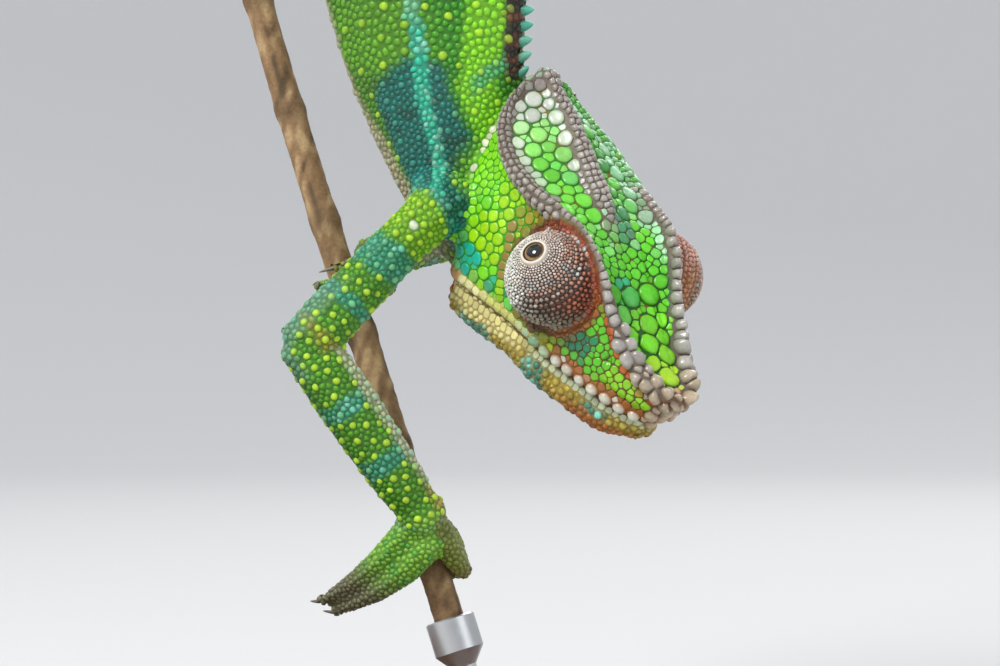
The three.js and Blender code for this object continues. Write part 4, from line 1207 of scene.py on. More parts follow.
    def with_turret(self, corners, side, on_head):
        """The turret's lids as a ball with folds, and the opening for the eye sunk in."""
        centre = turret_centre(side)
        apart = np.linalg.norm(corners - centre, axis=1)
        weight = (1 - ramp(apart, ORBIT_RADIUS - 0.35, ORBIT_RADIUS + 0.1)) * on_head
        outward, polar = from_gaze(corners, side)
        opening = np.where(polar < 0.24, 1.6 * ramp(polar, 0.24, 0.17), 0)
        target = centre + outward * (turret_radius(polar) - opening)[:, None]
        self.turret = np.maximum(self.turret, weight)
        return corners + (target - corners) * weight[:, None]

    def project(self, points):
        return nearest(self.tree, points)[:2]

    def owner(self, points):
        """The CAD node and the length down the tail at points near the skin."""
        index = np.array([self.finder.find(p)[1] for p in points.tolist()])
        return self.node[index], self.length[index], index


def turret_colours(points, side):
    """Colours of the lids: pale at the top and front, brown below, red-brown at the upper edge."""
    outward, polar = from_gaze(points, side)
    ahead, _, up = (outward @ HEAD_AXES.T).T
    noise = hash_noise(points, 2.2, 5.0)
    front = 0.64 * ahead + 0.77 * up
    low = 0.77 * ahead - 0.64 * up
    fleck = hash_noise(points, 1.5, 9.0) * ramp(polar, 0.4, 0.7) * ramp(front, -0.2, 0.3)
    return painted(
        points, rgb(240, 238, 226),
        (rgb(218, 202, 190), ramp(front, -0.1, 0.4)),
        (rgb(174, 134, 114), ramp(polar, 0.45, 1.0) * ramp(front + 0.3 * noise, 0.0, 0.55)),
        (rgb(190, 112, 72), ramp(fleck, 0.12, 0.45) * 0.55),
        (rgb(168, 182, 178), ramp(fleck, -0.12, -0.45) * 0.8),
        (rgb(104, 88, 68), ramp(polar, 0.5, 1.1) * ramp(low + 0.2 * noise, 0.3, 0.75) * 0.8),
        (rgb(170, 88, 60), ramp(polar, 1.1, 1.35) * ramp(up + 0.4 * ahead, 0.0, 0.5) * 0.85),
    )


skin = Skin()
print("skin corners", len(skin.corners), "triangles", len(skin.triangles))


def surface_colours(points, node, length):
    """Skin colours with the turrets' own."""
    colours = markings(points, node, length)
    for side in SIDES:
        apart = np.linalg.norm(points - turret_centre(side), axis=1)
        on_lid = (apart < ORBIT_RADIUS + 0.1) & in_groups(NODE_GROUP[node], "head", "jaw", "lid")
        if on_lid.any():
            colours[on_lid] = turret_colours(points[on_lid], side)
    return colours


# ---------------------------------------------------------------- places of the scales

PLATE, BEAD, LABIAL, GRAIN, TUBERCLE, LID_GRAIN, GAP, PEARL = range(8)
LARGE = (PLATE, BEAD, LABIAL, PEARL)
# Rings of a scale from its rim to its middle: share of the radius and of the height.
PLATE_RINGS = [(1.0, 0.0), (0.97, 0.5), (0.86, 0.86), (0.6, 0.97), (0.3, 1.0)]
BEAD_RINGS = [(1.0, 0.0), (0.94, 0.36), (0.78, 0.66), (0.52, 0.88), (0.26, 0.975)]
GRAIN_RINGS = [(1.0, 0.0), (0.72, 0.74)]
TUBERCLE_RINGS = [(1.0, 0.0), (0.8, 0.6), (0.42, 0.92)]
# Each kind of scale: its sides and rings, and its greatest radius and height as shares of its size.
STYLES = {
    PLATE: (14, PLATE_RINGS, 0.85, 0.14), BEAD: (14, BEAD_RINGS, 0.82, 0.38),
    LABIAL: (14, PLATE_RINGS, 0.85, 0.1), GRAIN: (7, GRAIN_RINGS, 0.85, 0.24),
    TUBERCLE: (9, TUBERCLE_RINGS, 0.62, 0.33), LID_GRAIN: (7, GRAIN_RINGS, 0.85, 0.34),
    GAP: (6, GRAIN_RINGS, 1.0, 0.3), PEARL: (14, BEAD_RINGS, 0.62, 0.38),
}
# How deep a scale's rim goes into the skin.
SINK = 0.14


class Coat:
    """All scales: root, size, kind, height and colour."""

    def __init__(self):
        self.points = np.zeros((0, 3))
        self.size = np.zeros(0)
        self.kind = np.zeros(0, int)
        self.colour = np.zeros((0, 3))
        self.height = np.zeros(0)
        self.fixed = np.zeros(0, bool)

    def add(self, points, size, kind, colour, fixed=True):
        count = len(points)
        self.height = np.concatenate([self.height, np.broadcast_to(STYLES[kind][3] * size, count)])
        self.points = np.vstack([self.points, points])
        self.size = np.concatenate([self.size, np.broadcast_to(size, count)])
        self.kind = np.concatenate([self.kind, np.broadcast_to(kind, count)])
        self.colour = np.vstack([self.colour, np.broadcast_to(colour, (count, 3))])
        self.fixed = np.concatenate([self.fixed, np.full(count, fixed)])


coat = Coat()


def bead_row(start, stop, size_table, line, offset, spacing, middle=False):
    """Points and sizes of a row of beads beside the crest, or beside the midline."""
    rows = np.arange(start, stop, 0.01)
    distance, sizes = np.interp(rows, *line) + offset, np.interp(rows, *size_table)
    if middle:
        points = skull_points(rows, np.zeros(len(rows)))
        points[:, 1] = distance
    else:
        points = skull_points(rows, beside_crest(rows, distance))
    chosen = paced(points, sizes * spacing)
    return points[chosen], sizes[chosen]


def add_on_head(points, sizes, kind, colour, side, jitter=0.05):
    """Scales on one side of the head at points of its left half, or anywhere if side is None."""
    place = points if side is None else pressed(points * np.array([1, SIDE_SIGN[side], 1]))
    place = place + rng.normal(0, jitter, place.shape) * sizes[:, None]
    roots, _ = skin.project(from_head(place))
    coat.add(roots, sizes * rng.uniform(0.93, 1.06, len(sizes)), kind, colour(roots))


def ridge_colour(points):
    """Grey-lilac beads, green at the far side of the casque, beige at the snout."""
    x, y, _ = to_head(points).T
    noise = hash_noise(points, 4.0, 6.1)
    green = painted(points, rgb(84, 180, 50), (rgb(140, 204, 150), ramp(noise, -0.2, 0.3)))
    return painted(
        points, GREY_LILAC,
        (rgb(150, 138, 124), ramp(noise, 0.0, 0.5)),
        (rgb(150, 142, 136), ramp(x, -14, -26) * 0.7),
        (rgb(186, 182, 176), ramp(x, 2, 12) * 0.8),
        (green, ramp(y, 3.2, 3.8) * (1 - ramp(x, -15, -11))),
        (BEIGE, ramp(x, 19, 25)),
    )


# Rows of ridge beads: first and last place along the skull, sizes at places, how far outside the
# ridge's own line, and spacing as a share of the size.
SNOUT_SIZES = ([7.9, 9, 11], [3.4, 3.3, 2.8])
BEAD_ROWS = {
    "both": [
        (1.05, 5.25, ([0, 3, 4, 5.3], [1.35, 1.5, 1.9, 2.0]), 0, 0.93),
        (1.05, 4.4, ([0, 5], [1.25, 1.4]), -1.4, 0.95),
    ],
    "right": [
        (5.3, 7.95, ([5.2, 6.4, 7.2, 7.9], [1.9, 2.1, 2.5, 3.0]), 0, 0.78),
        (8.05, 10.9, SNOUT_SIZES, -1.3, 0.8),
        (8.25, 10.7, SNOUT_SIZES, 1.3, 0.8),
        (8.9, 10.4, ([0, 11], [1.9, 1.9]), -3.3, 0.95),
        (1.05, 5.05, ([0, 3, 4, 5], [1.35, 1.5, 1.9, 2.0]), 1.5, 0.93),
        (2.9, 4.75, ([0, 4, 5], [1.4, 1.7, 1.9]), 3.1, 0.95),
    ],
    "left": [
        (5.3, 10.6, ([5.3, 6, 7.4, 8.4, 11], [2.2, 2.9, 3.3, 4.0, 3.6]), 0, 0.67),
        (8.2, 10.7, ([8, 11], [1.9, 2.3]), 2.9, 0.95),
    ],
}
# The three rows on the casque's middle ridge: last place, and how far to the left of its line.
MIDDLE_ROWS = ((5.4, 0.0), (5.2, -1.3), (5.0, 1.3))
MIDDLE_SIZES = ([0, 3, 6], [1.35, 1.45, 1.4])


def add_ridges():
    """Rows of beads along the ridge on each side of the head and along the casque's middle."""
    for side in SIDES:
        for start, stop, size_table, offset, spacing in BEAD_ROWS["both"] + BEAD_ROWS[side]:
            points, sizes = bead_row(start, stop, size_table, RIDGE_SHIFT[side], offset, spacing)
            add_on_head(points, sizes * rng.uniform(0.92, 1.08, len(sizes)), BEAD, ridge_colour, side, 0.08)
    for stop, offset in MIDDLE_ROWS:
        points, sizes = bead_row(1.0, stop, MIDDLE_SIZES, MIDDLE_SHIFT, offset, 0.95, True)
        add_on_head(points, sizes * rng.uniform(0.85, 1.15, len(sizes)), BEAD, ridge_colour, None, 0.13)


def add_mouth_gap():
    """Points along the closed mouth that keep the scales of both lips off its line."""
    length = length_at(MOUTH)
    steps = np.arange(0, length[-1], 0.3)
    places = np.stack([np.interp(steps, length, MOUTH[:, axis]) for axis in range(3)], 1)
    for mirror in (1, -1):
        roots, _ = skin.project(from_head(places * np.array([1, mirror, 1])))
        # Painted shade: the small scales in the mouth's seam are dark brown.
        coat.add(roots, 0.36, GAP, rgb(60, 44, 20))


def add_lips():
    """The rows of scales along the upper and the lower lip."""
    lip = skull_points(np.linspace(0.35, 10.8, 400), np.full(400, 4.0))
    lip = lip + np.array([0, 0.1, 1]) * np.interp(lip[:, 0], [-2, 5], [1.25, 0.7])[:, None]
    jaw_lip = spline(JAW_LINES["lip"], np.linspace(0.01, 0.99, 400))
    jaw_lip = jaw_lip - np.array([0, 0, 1]) * np.interp(jaw_lip[:, 0], [-8, 2], [0.95, 0.4])[:, None]
    upper = lip[paced(lip, np.interp(lip[:, 0], [-4, 4], [1.9, 2.9]))]
    lower = jaw_lip[paced(jaw_lip, np.full(400, 1.45))]
    front = upper[:, 0] > 2
    for points, size, kind, paint in (
        (upper[front], 2.75, PEARL, head_markings),
        (upper[~front], 1.95, LABIAL, head_markings),
        (lower, 1.5, LABIAL, jaw_markings),
    ):
        for side in SIDES:
            add_on_head(points, np.full(len(points), size), kind, paint, side, 0.03)


def add_eye_columns():
    """The column of square orange scales behind each turret, and the yellow-green ones below."""
    line = np.array([(-13.9, 3.7), (-11.9, 0.2), (-10.9, -3.2), (-9.4, -6.2), (-8.2, -8.6)])
    places = spline(line, np.linspace(0, 1, 9))
    points = np.stack([places[:, 0], np.full(9, 14.5), places[:, 1]], 1)
    colours = np.vstack([np.tile(rgb(158, 132, 62), (6, 1)), np.tile(rgb(150, 196, 20), (3, 1))])
    for mirror in (1, -1):
        roots, _ = skin.project(from_head(points * np.array([1, mirror, 1])))
        coat.add(roots, np.linspace(2.15, 1.7, 9), PLATE, colours)


# Directions from a turret to the head's upper front, and to its lower front.
FRONT_UP = 0.64 * HEAD_AXES[0] + 0.77 * HEAD_AXES[2]
FRONT_DOWN = 0.77 * HEAD_AXES[0] - 0.64 * HEAD_AXES[2]
# Rings of lid grains: first and last angle from the gaze, and the grains' size at angles.
LID_ANGLES = (0.335, 2.4)
LID_SIZES = ([0.34, 0.6, 1.0, 1.5], [0.46, 0.6, 0.66, 0.7])


def lid_folds(outward, polar):
    """How wrinkled the lid is: fully at the front and the lower edge, not at all behind."""
    return ramp(polar, 0.65, 1.05) * ramp(np.maximum(outward @ FRONT_UP, outward @ FRONT_DOWN), 0.1, 0.6)


def far_share(polar):
    """How much of the left lids' blend a place has: all of it far from the gaze."""
    return ramp(polar, 0.85, 1.1)


def far_tone(outward):
    """Colours that the left lids blend into at the side towards the forehead."""
    return painted(outward, rgb(214, 166, 148), (rgb(198, 138, 84), ramp(outward @ FRONT_DOWN, -0.25, 0.3)))


def lid_turns(polar, size, across, other):
    """Angles round the gaze of one ring of grains, further apart where the lid is wrinkled."""
    sample = np.linspace(0, 2 * math.pi, 721)
    folded = lid_folds(spokes(sample, across, other), polar)
    step = size * float(np.interp(polar, [0.5, 1.1], [1.02, 1.2])) * (1 + 0.25 * folded)
    step = step / (math.sin(polar) * TURRET_RADIUS)
    passed = np.concatenate([[0], np.cumsum(np.diff(sample) * 0.5 * (1 / step[1:] + 1 / step[:-1]))])
    count = max(6, int(passed[-1]))
    wanted = (np.arange(count) + rng.random() + rng.uniform(-0.2, 0.2, count)) * passed[-1] / count
    return np.interp(wanted, passed, sample)


def add_lid_grains(side):
    """Rings of small grains round the gaze on a turret, every second one low in the folds and darkened there
    as painted shade, the others raised and a little lighter as painted light.
    """
    centre, gaze = turret_centre(side), gaze_of(side)
    across = unit(np.cross(gaze, [0.3, 0.2, 1.0]))
    other = np.cross(gaze, across)
    polar, stop = LID_ANGLES
    in_fold = False
    while polar < stop:
        size = float(np.interp(polar, *LID_SIZES))
        turn = lid_turns(polar, size, across, other)
        angle = polar + rng.normal(0, 0.006, len(turn))
        outward = np.cos(angle)[:, None] * gaze + np.sin(angle)[:, None] * spokes(turn, across, other)
        points = centre + outward * turret_radius(angle)[:, None]
        roots, _ = skin.project(points)
        roots = roots[np.linalg.norm(roots - points, axis=1) < 0.25]
        if len(roots):
            outward = unit(roots - centre)
            folded = lid_folds(outward, polar)
            light = rng.random(len(roots)) ** 0.7
            # Painted shade on the low rings in the folds, a little painted light on the raised ones.
            darker = rng.uniform(0.6, 0.8) if in_fold else -0.1
            colours = turret_colours(roots, side) * ((0.62 + 0.68 * light) * (1 - darker * folded))[:, None]
            if side == "left":
                tone = far_tone(outward) * (0.75 + 0.4 * light)[:, None]
                colours = mix(colours, tone, 0.75 * far_share(polar))
            coat.add(roots, size * rng.uniform(0.9, 1.1, len(roots)), LID_GRAIN, colours)
            coat.height[-len(roots):] *= 1 + (-0.8 if in_fold else 0.6) * folded
        polar += size * 0.86 / TURRET_RADIUS
        in_fold = not in_fold


def fill(corner_index, classes, stretch=1.0):
    """Fills a stretch of skin with scales of several kinds, the first with the first choice.

    Each class is (share of corners tried, room that two of them need, size, kind)."""
    for share, room, size, kind in classes:
        size = np.broadcast_to(size, len(corner_index))
        tried = rng.random(len(corner_index)) < share
        index = corner_index[tried]
        varied = rng.uniform(0.92, 1.1, len(index))
        sizes = size[tried] * varied
        points = skin.corners[index] + rng.normal(0, 0.12, (len(index), 3))
        if len(coat.points):
            i, j, apart = near_pairs(points, coat.points, (sizes.max() + coat.size.max()) / 2)
            crowded = np.zeros(len(points), bool)
            crowded[i[apart < 0.46 * (sizes[i] + coat.size[j])]] = True
            points, sizes, varied = points[~crowded], sizes[~crowded], varied[~crowded]
        if not len(points):
            continue
        measured = points
        if stretch != 1.0:
            up = HEAD_AXES[2]
            measured = points - np.outer(points @ up, up) * (1 - 1 / stretch)
        needed = sizes * 0.95 if room is None else room * varied
        kept = thin(measured, needed, rng.random(len(points)))
        roots, _ = skin.project(points[kept])
        node, length, _ = skin.owner(roots)
        coat.add(roots, sizes[kept], kind, surface_colours(roots, node, length), fixed=False)


def add_head_fill():
    """Plates over the head's fields, the largest first, and beads over the snout."""
    on_head = in_groups(skin.group, "head") & (skin.turret < 0.5) & (skin.groove < 0.6)
    on_head = np.flatnonzero(on_head)
    p = HeadPlace(skin.corners[on_head])
    row, on_side = p.row, p.line > 1.0
    orbit = (p.from_turret < 10.3) & on_side
    snout = ((row > 10.0) | ((p.gap < 0.2) & (row > 7.9) & (p.line > 0.3))) & ~orbit
    tip = (row < 1.1) & (p.line < 1.4)
    top = (p.line < 1.0) & ~snout & ~orbit & ~tip
    rear = on_side & (p.x < -21.5) & ~tip
    lore = on_side & (p.x > 4.0) & ~snout & ~orbit
    cheek = on_side & ~rear & ~lore & ~snout & ~orbit
    for mask, sizes, stretch in (
        (top & (row <= 5.2), (3.3, 2.5, 1.6, 1.0), 1.0),
        (top & (row > 5.2) & (row <= 6.6), (2.0, 1.6, 1.2, 0.9), 1.0),
        (top & (row > 6.6), (4.2, 3.0, 1.7, 1.0), 1.0),
        (cheek, (2.4, 1.9, 1.3, 0.9), 1.25),
        (lore, (1.6, 1.3, 1.0, 0.8), 1.0),
        (rear, (1.5, 1.2, 0.95, 0.8), 1.0),
        (orbit, (0.8, 0.7, 0.6, 0.5), 1.0),
    ):
        classes = [(share, None, size, PLATE) for share, size in zip((0.8, 0.8, 1.0, 1.0), sizes)]
        fill(on_head[mask], classes, stretch)
    fill(on_head[snout], [(1.0, None, size, BEAD) for size in (2.5, 1.8, 1.2)])
    fresh = (coat.kind == BEAD) & ~coat.fixed
    coat.colour[fresh] = ridge_colour(coat.points[fresh])
    fill(on_head[tip], [(1.0, None, size, PLATE) for size in (1.2, 0.95, 0.75)])


def add_body_fill():
    """The white scale on the shoulder, then tubercles and grains over all the rest."""
    white_one, _ = skin.project(ANIMAL_AT + np.array([SHOULDER_SPOT]))
    coat.add(white_one, 1.7, BEAD, rgb(206, 220, 190))
    grain_by_height = np.interp(skin.corners[:, 2], [110, 165], [0.95, 1.4])
    grain_by_length = np.interp(skin.length, [0, 200], [1.3, 1.0])
    for word, tubercles, grains in (
        ("jaw", [(0.5, 1.7, 1.35)], [1.0, 0.75]),
        ("neck", [(0.5, 3.0, 1.25)], [0.88]),
        ("trunk", [(0.3, 4.6, 1.6)], [grain_by_height]),
        ("limb", [(1.0, 2.2, 1.3)], [0.9]),
        ("foot", [], [0.82]),
        ("tail", [(0.4, 4.2, 1.5)], [grain_by_length]),
    ):
        index = np.flatnonzero(in_groups(skin.group, word) & (skin.groove < 0.8))
        sizes = [size if np.isscalar(size) else size[index] for size in grains]
        classes = [(*how, TUBERCLE) for how in tubercles] + [(1.0, None, size, GRAIN) for size in sizes]
        fill(index, classes)


def tint_tubercles():
    """The body's tubercles paler than the grains round them: yellow, or mint where it is bluish."""
    group = NODE_GROUP[skin.owner(coat.points)[0]]
    dotted = (coat.kind == TUBERCLE) & in_groups(group, "neck", "trunk", "tail", "limb")
    plain = coat.colour[dotted]
    bluish = ramp(plain[:, 2] / plain[:, 1], 0.3, 0.6)
    dot = painted(plain, DOT_YELLOW, (rgb(96, 204, 170), bluish))
    weight = rng.uniform(0.2, 0.65, dotted.sum()) + 0.3 * in_groups(group[dotted], "limb")
    coat.colour[dotted] = mix(plain, dot, weight * (1 - 0.55 * bluish))


def settle(rounds):
    """Moves the filled scales apart until they are evenly packed."""
    reach = 1.1
    size = coat.size
    for _ in range(rounds):
        normals = skin.even_normals[skin.owner(coat.points)[2]]
        move = np.zeros_like(coat.points)
        for low, high in ((0, 1.7), (1.7, 5)):
            mine = (size >= low) & (size < high)
            if not mine.any():
                continue
            index = np.flatnonzero(mine)
            i, j, apart = near_pairs(coat.points[index], coat.points, (high if high < 5 else 3.4) * reach)
            i = index[i]
            want = 0.5 * (size[i] + size[j]) * reach
            near = (i != j) & (apart < want) & (apart > 1e-6)
            i, j, apart, want = i[near], j[near], apart[near], want[near]
            push = (coat.points[i] - coat.points[j]) / apart[:, None] * ((want - apart) * 0.3)[:, None]
            for axis in range(3):
                move[:, axis] += np.bincount(i, push[:, axis], len(size))
        move[coat.fixed] = 0
        move -= normals * (move * normals).sum(1)[:, None]
        length = np.linalg.norm(move, axis=1)
        move *= np.minimum(1, 0.2 * size / np.maximum(length, 1e-9))[:, None]
        coat.points = coat.points + move
    coat.points, _ = skin.project(coat.points)
    corner = skin.owner(coat.points)[2]
    large = np.isin(coat.kind, LARGE)
    coat.normals = np.where(large[:, None], skin.soft_normals[corner], skin.even_normals[corner])


# ---------------------------------------------------------------- shapes of the scales

def tangents(normals):
    helper = np.where(np.abs(normals[:, 2:3]) < 0.8, [[0.0, 0.0, 1.0]], [[1.0, 0.0, 0.0]])
    first = unit(np.cross(helper, normals))
    return first, np.cross(normals, first)


# How sharp the corners are where two neighbours' walls meet.
CORNER_POWER = 9


def cell_radii(index, angles, widest, first, second):
    """How far each scale reaches at each angle before it meets its neighbours."""
    points, size, normals = coat.points, coat.size, coat.normals
    i, j, apart = near_pairs(points[index], points, size[index].max() * 0.5 + 2.0)
    own = index[i]
    facing = (normals[own] * normals[j]).sum(1) > 0.1
    near = (own != j) & facing & (apart < 0.9 * (size[own] + size[j])) & (apart > 1e-6)
    i, j, apart, own = i[near], j[near], apart[near], own[near]
    step = points[j] - points[own]
    x = (step * first[i]).sum(1)
    y = (step * second[i]).sum(1)
    flat = np.maximum(np.hypot(x, y), 1e-9)
    x, y = x / flat, y / flat
    wall = 0.5 * (apart**2 + 0.25 * size[own] ** 2 - 0.25 * size[j] ** 2) / apart
    wall = np.maximum(wall, 0.18 * size[own]) * 0.95
    radii = np.zeros((len(index), len(angles)))
    for turn, angle in enumerate(angles):
        facing = x * math.cos(angle) + y * math.sin(angle)
        weight = np.where(facing > 0.02, (np.maximum(facing, 0) / wall) ** CORNER_POWER, 0)
        total = np.bincount(i, weight, len(index)) + (1 / (widest * size[index])) ** CORNER_POWER
        radii[:, turn] = total ** (-1 / CORNER_POWER)
    return radii


def on_skin(places):
    """Places in an array of any shape, moved onto the skin."""
    return skin.project(places.reshape(-1, 3))[0].reshape(places.shape)


def scale_mesh(index, kind):
    """Corners, triangles, colours and scale numbers of the scales with these numbers."""
    sides, rings, widest, _ = STYLES[kind]
    angles = round_turn(sides)
    roots, normals = coat.points[index], coat.normals[index]
    first, second = tangents(normals)
    radii = cell_radii(index, angles, widest, first, second)
    height = coat.height[index] * rng.uniform(0.88, 1.12, len(index))
    rim = roots[:, None] + radii[..., None] * spokes(angles, first[:, None], second[:, None])
    if kind in LARGE:
        rim = on_skin(rim)
    layers, shades = [], []
    base, edge = coat.colour[index], coat.edge[index]
    for share, lift in rings:
        layer = roots[:, None] * (1 - share) + rim * share
        if kind == BEAD and share < 1.0:
            layer = on_skin(layer)
        layer = layer + normals[:, None] * (height[:, None, None] * lift)
        if lift == 0.0:
            layer = layer - normals[:, None] * SINK
        layers.append(layer)
        # The rings near the skin move towards the rim colour: partly the scales' real darker rims, partly
        # painted shade where each scale meets the skin.
        blend = 1.0 if lift == 0 else 0.6 * (1 - lift) ** 0.8
        shades.append(np.repeat(mix(base, edge, blend)[:, None], sides, 1))
    layers.append((roots + normals * height[:, None])[:, None])
    shades.append(base[:, None])
    corners = np.concatenate(layers, 1)
    tint = np.concatenate(shades, 1)
    per_scale = corners.shape[1]
    starts = np.arange(len(index))[:, None, None] * per_scale
    faces = (tipped_rings(len(rings), sides)[None] + starts).reshape(-1, 3)
    return corners.reshape(-1, 3), faces, tint.reshape(-1, 3), np.repeat(index, per_scale)


# ---------------------------------------------------------------- unwrap for the scales

PROXY_VOXEL = 2.0
PATCH = 0.003


class Unwrap:
    """An unwrap of the skin's own shape, looked up at any point."""

    def __init__(self):
        corners, triangles = largest_piece(*remeshed(*flesh_solids(), PROXY_VOXEL))
        thing = new_object("unwrap_source", corners, triangles, smooth=False, scale=1.0)
        thing.data.uv_layers.new(name="OFBake")
        bpy.ops.object.select_all(action="DESELECT")
        thing.select_set(True)
        bpy.context.view_layer.objects.active = thing
        bpy.ops.object.mode_set(mode="EDIT")
        bpy.ops.mesh.select_all(action="SELECT")
        bpy.ops.uv.smart_project(angle_limit=math.radians(66), island_margin=0.002)
        bpy.ops.object.mode_set(mode="OBJECT")
        flat = np.zeros(len(thing.data.loops) * 2, np.float32)
        thing.data.uv_layers["OFBake"].data.foreach_get("uv", flat)
        self.uv = flat.reshape(-1, 3, 2)
        self.corners = corners[triangles]
        self.tree = BVHTree.FromPolygons(corners.tolist(), triangles.tolist())
        bpy.data.objects.remove(thing)

    def at(self, points):
        places, _, face = nearest(self.tree, points)
        a, b, c = (self.corners[face, i] for i in range(3))
        ab, ac, ap = b - a, c - a, places - a
        ab_ab, ab_ac, ac_ac = (ab * ab).sum(1), (ab * ac).sum(1), (ac * ac).sum(1)
        ap_ab, ap_ac = (ap * ab).sum(1), (ap * ac).sum(1)
        area = np.maximum(ab_ab * ac_ac - ab_ac * ab_ac, 1e-12)
        v = np.clip((ac_ac * ap_ab - ab_ac * ap_ac) / area, 0, 1)
        w = np.clip((ab_ab * ap_ac - ab_ac * ap_ab) / area, 0, 1 - v)
        uv = self.uv[face]
        return uv[:, 0] * (1 - v - w)[:, None] + uv[:, 1] * v[:, None] + uv[:, 2] * w[:, None]


def add_patches(thing, root_uv, local, owner_rows):
    """The map OFBake: each scale a small patch at its root's place on the skin's unwrap."""
    layer = thing.data.uv_layers.new(name="OFBake")
    corner = np.zeros(len(thing.data.loops), np.int32)
    thing.data.loops.foreach_get("vertex_index", corner)
    uv = root_uv[owner_rows[corner]] + local[corner] * PATCH / 2
    layer.data.foreach_set("uv", np.clip(uv, 0, 1).astype(np.float32).ravel())


# ---------------------------------------------------------------- materials


FINE_DEPTH = 0.0001


def with_values(node, values):
    for name, value in values.items():
        node.inputs[name].default_value = value
    return node


def material(name, values):
    """A new material, its node tree and its shader with some values set."""
    made = bpy.data.materials.new(name)
    made.use_nodes = True
    return made, made.node_tree, with_values(made.node_tree.nodes["Principled BSDF"], values)


def add_node(tree, kind, values, sources):
    """A new node with values, and other nodes' outputs linked to its inputs."""
    node = with_values(tree.nodes.new("ShaderNode" + kind), values)
    for name, output in sources.items():
        tree.links.new(output, node.inputs[name])
    return node


def add_bump(tree, shader, height, strength, distance=FINE_DEPTH):
    node = add_node(tree, "Bump", {"Strength": strength, "Distance": distance}, {"Height": height})
    tree.links.new(node.outputs["Normal"], shader.inputs["Normal"])


def object_place(tree):
    return add_node(tree, "TexCoord", {}, {}).outputs["Object"]


def noise_of(tree, scale, detail):
    values = {"Scale": scale, "Detail": detail, "Roughness": 0.55}
    return add_node(tree, "TexNoise", values, {"Vector": object_place(tree)}).outputs["Fac"]


def two_tones(tree, shader, share, dark, light):
    """The shader's colour as a blend of two by a share."""
    blend = add_node(tree, "ValToRGB", {}, {"Fac": share})
    for element, colour in zip(blend.color_ramp.elements, (dark, light)):
        element.color = (*colour, 1)
    tree.links.new(blend.outputs["Color"], shader.inputs["Base Color"])


def tinted(name, roughness, coat_weight=0.0, coat_roughness=0.2, grain=9000.0, bump_strength=0.25,
           variation=0.16, subsurface=0.0):
    """A skin or scale finish: the mesh's own tint, mottled finely, with a fine bump."""
    made, tree, shader = material(name, {
        "Roughness": roughness, "Coat Weight": coat_weight, "Coat Roughness": coat_roughness,
    })
    if subsurface:
        with_values(shader, {
            "Subsurface Weight": subsurface, "Subsurface Radius": (0.0012, 0.0009, 0.0004),
            "Subsurface Scale": 0.5,
        })
    tint = tree.nodes.new("ShaderNodeAttribute")
    tint.attribute_name = "tint"
    spread_of = {"From Min": 0.3, "From Max": 0.7, "To Min": 1 - variation, "To Max": 1 + variation}
    level = add_node(tree, "MapRange", spread_of, {"Value": noise_of(tree, 1600.0, 4.0)})
    scaled = tree.nodes.new("ShaderNodeVectorMath")
    scaled.operation = "SCALE"
    tree.links.new(tint.outputs["Color"], scaled.inputs[0])
    tree.links.new(level.outputs["Result"], scaled.inputs["Scale"])
    tree.links.new(scaled.outputs["Vector"], shader.inputs["Base Color"])
    add_bump(tree, shader, noise_of(tree, grain, 3.0), bump_strength)
    return made


def horn():
    made, tree, shader = material("horn", {"Roughness": 0.35, "Coat Weight": 0.3})
    streaks = noise_of(tree, 2200.0, 3.0)
    two_tones(tree, shader, streaks, rgb(66, 58, 44), rgb(140, 128, 100))
    add_bump(tree, shader, streaks, 0.2)
    return made


def wood():
    finish = {"Roughness": 0.38, "Coat Weight": 0.3, "Coat Roughness": 0.25}
    made, tree, shader = material("stained_wood", finish)
    stretched = add_node(tree, "Mapping", {"Scale": (1.0, 9.0, 9.0)}, {"Vector": object_place(tree)})
    values = {"Scale": 14.0, "Distortion": 7.0, "Detail": 3.0, "Detail Scale": 1.6}
    rings = add_node(tree, "TexWave", values, {"Vector": stretched.outputs["Vector"]})
    rings.bands_direction = "Y"
    two_tones(tree, shader, rings.outputs["Fac"], rgb(58, 35, 20), rgb(104, 67, 40))
    add_bump(tree, shader, rings.outputs["Fac"], 0.15, 0.0002)
    return made


def steel():
    made, tree, shader = material("brushed_steel", {"Metallic": 1.0, "Base Color": (0.62, 0.63, 0.64, 1)})
    brush = noise_of(tree, 900.0, 2.0)
    rough = add_node(tree, "MapRange", {"To Min": 0.24, "To Max": 0.42}, {"Value": brush})
    tree.links.new(rough.outputs["Result"], shader.inputs["Roughness"])
    add_bump(tree, shader, brush, 0.08)
    return made


# ---------------------------------------------------------------- crest cones


# Rings of a crest cone: share of its width and of its height. It starts below the skin.
CONE_RINGS = [(1.0, -0.25), (0.92, 0.12), (0.76, 0.42), (0.56, 0.68), (0.32, 0.88), (0.12, 0.98)]
CONE_SIDES = 12
CONE_WIDTH = 0.52
BACK_CONES_EVERY = 2.75
CHIN_CONES_EVERY = 1.9


def make_cones(name, places, rises, heights, colours, made):
    """A row of soft cones that stand on the skin, as one joined mesh."""
    turn = round_turn(CONE_SIDES)
    faces = tipped_rings(len(CONE_RINGS), CONE_SIDES)
    pieces, tint = [], []
    for place, rise, height, colour in zip(places, rises, heights, colours):
        first, second = (v[0] for v in tangents(rise[None]))
        ring = spokes(turn, first, second) * CONE_WIDTH
        layers = [place + (ring * share + rise * lift) * height for share, lift in CONE_RINGS]
        pieces.append((np.vstack(layers + [(place + rise * height)[None]]), faces))
        # Painted shade: each cone darker towards its foot, where it meets the skin.
        tint += [np.tile(colour * (0.5 + 0.5 * max(lift, 0)), (CONE_SIDES, 1)) for _, lift in CONE_RINGS]
        tint.append(colour[None])
    thing = new_object(name, *joined(pieces), np.vstack(tint))
    return finished(thing, made)


def every(points, spacing):
    """Numbers of points that lie evenly along a row of points."""
    length = length_at(points)
    return np.searchsorted(length, np.arange(0.5, length[-1], spacing))


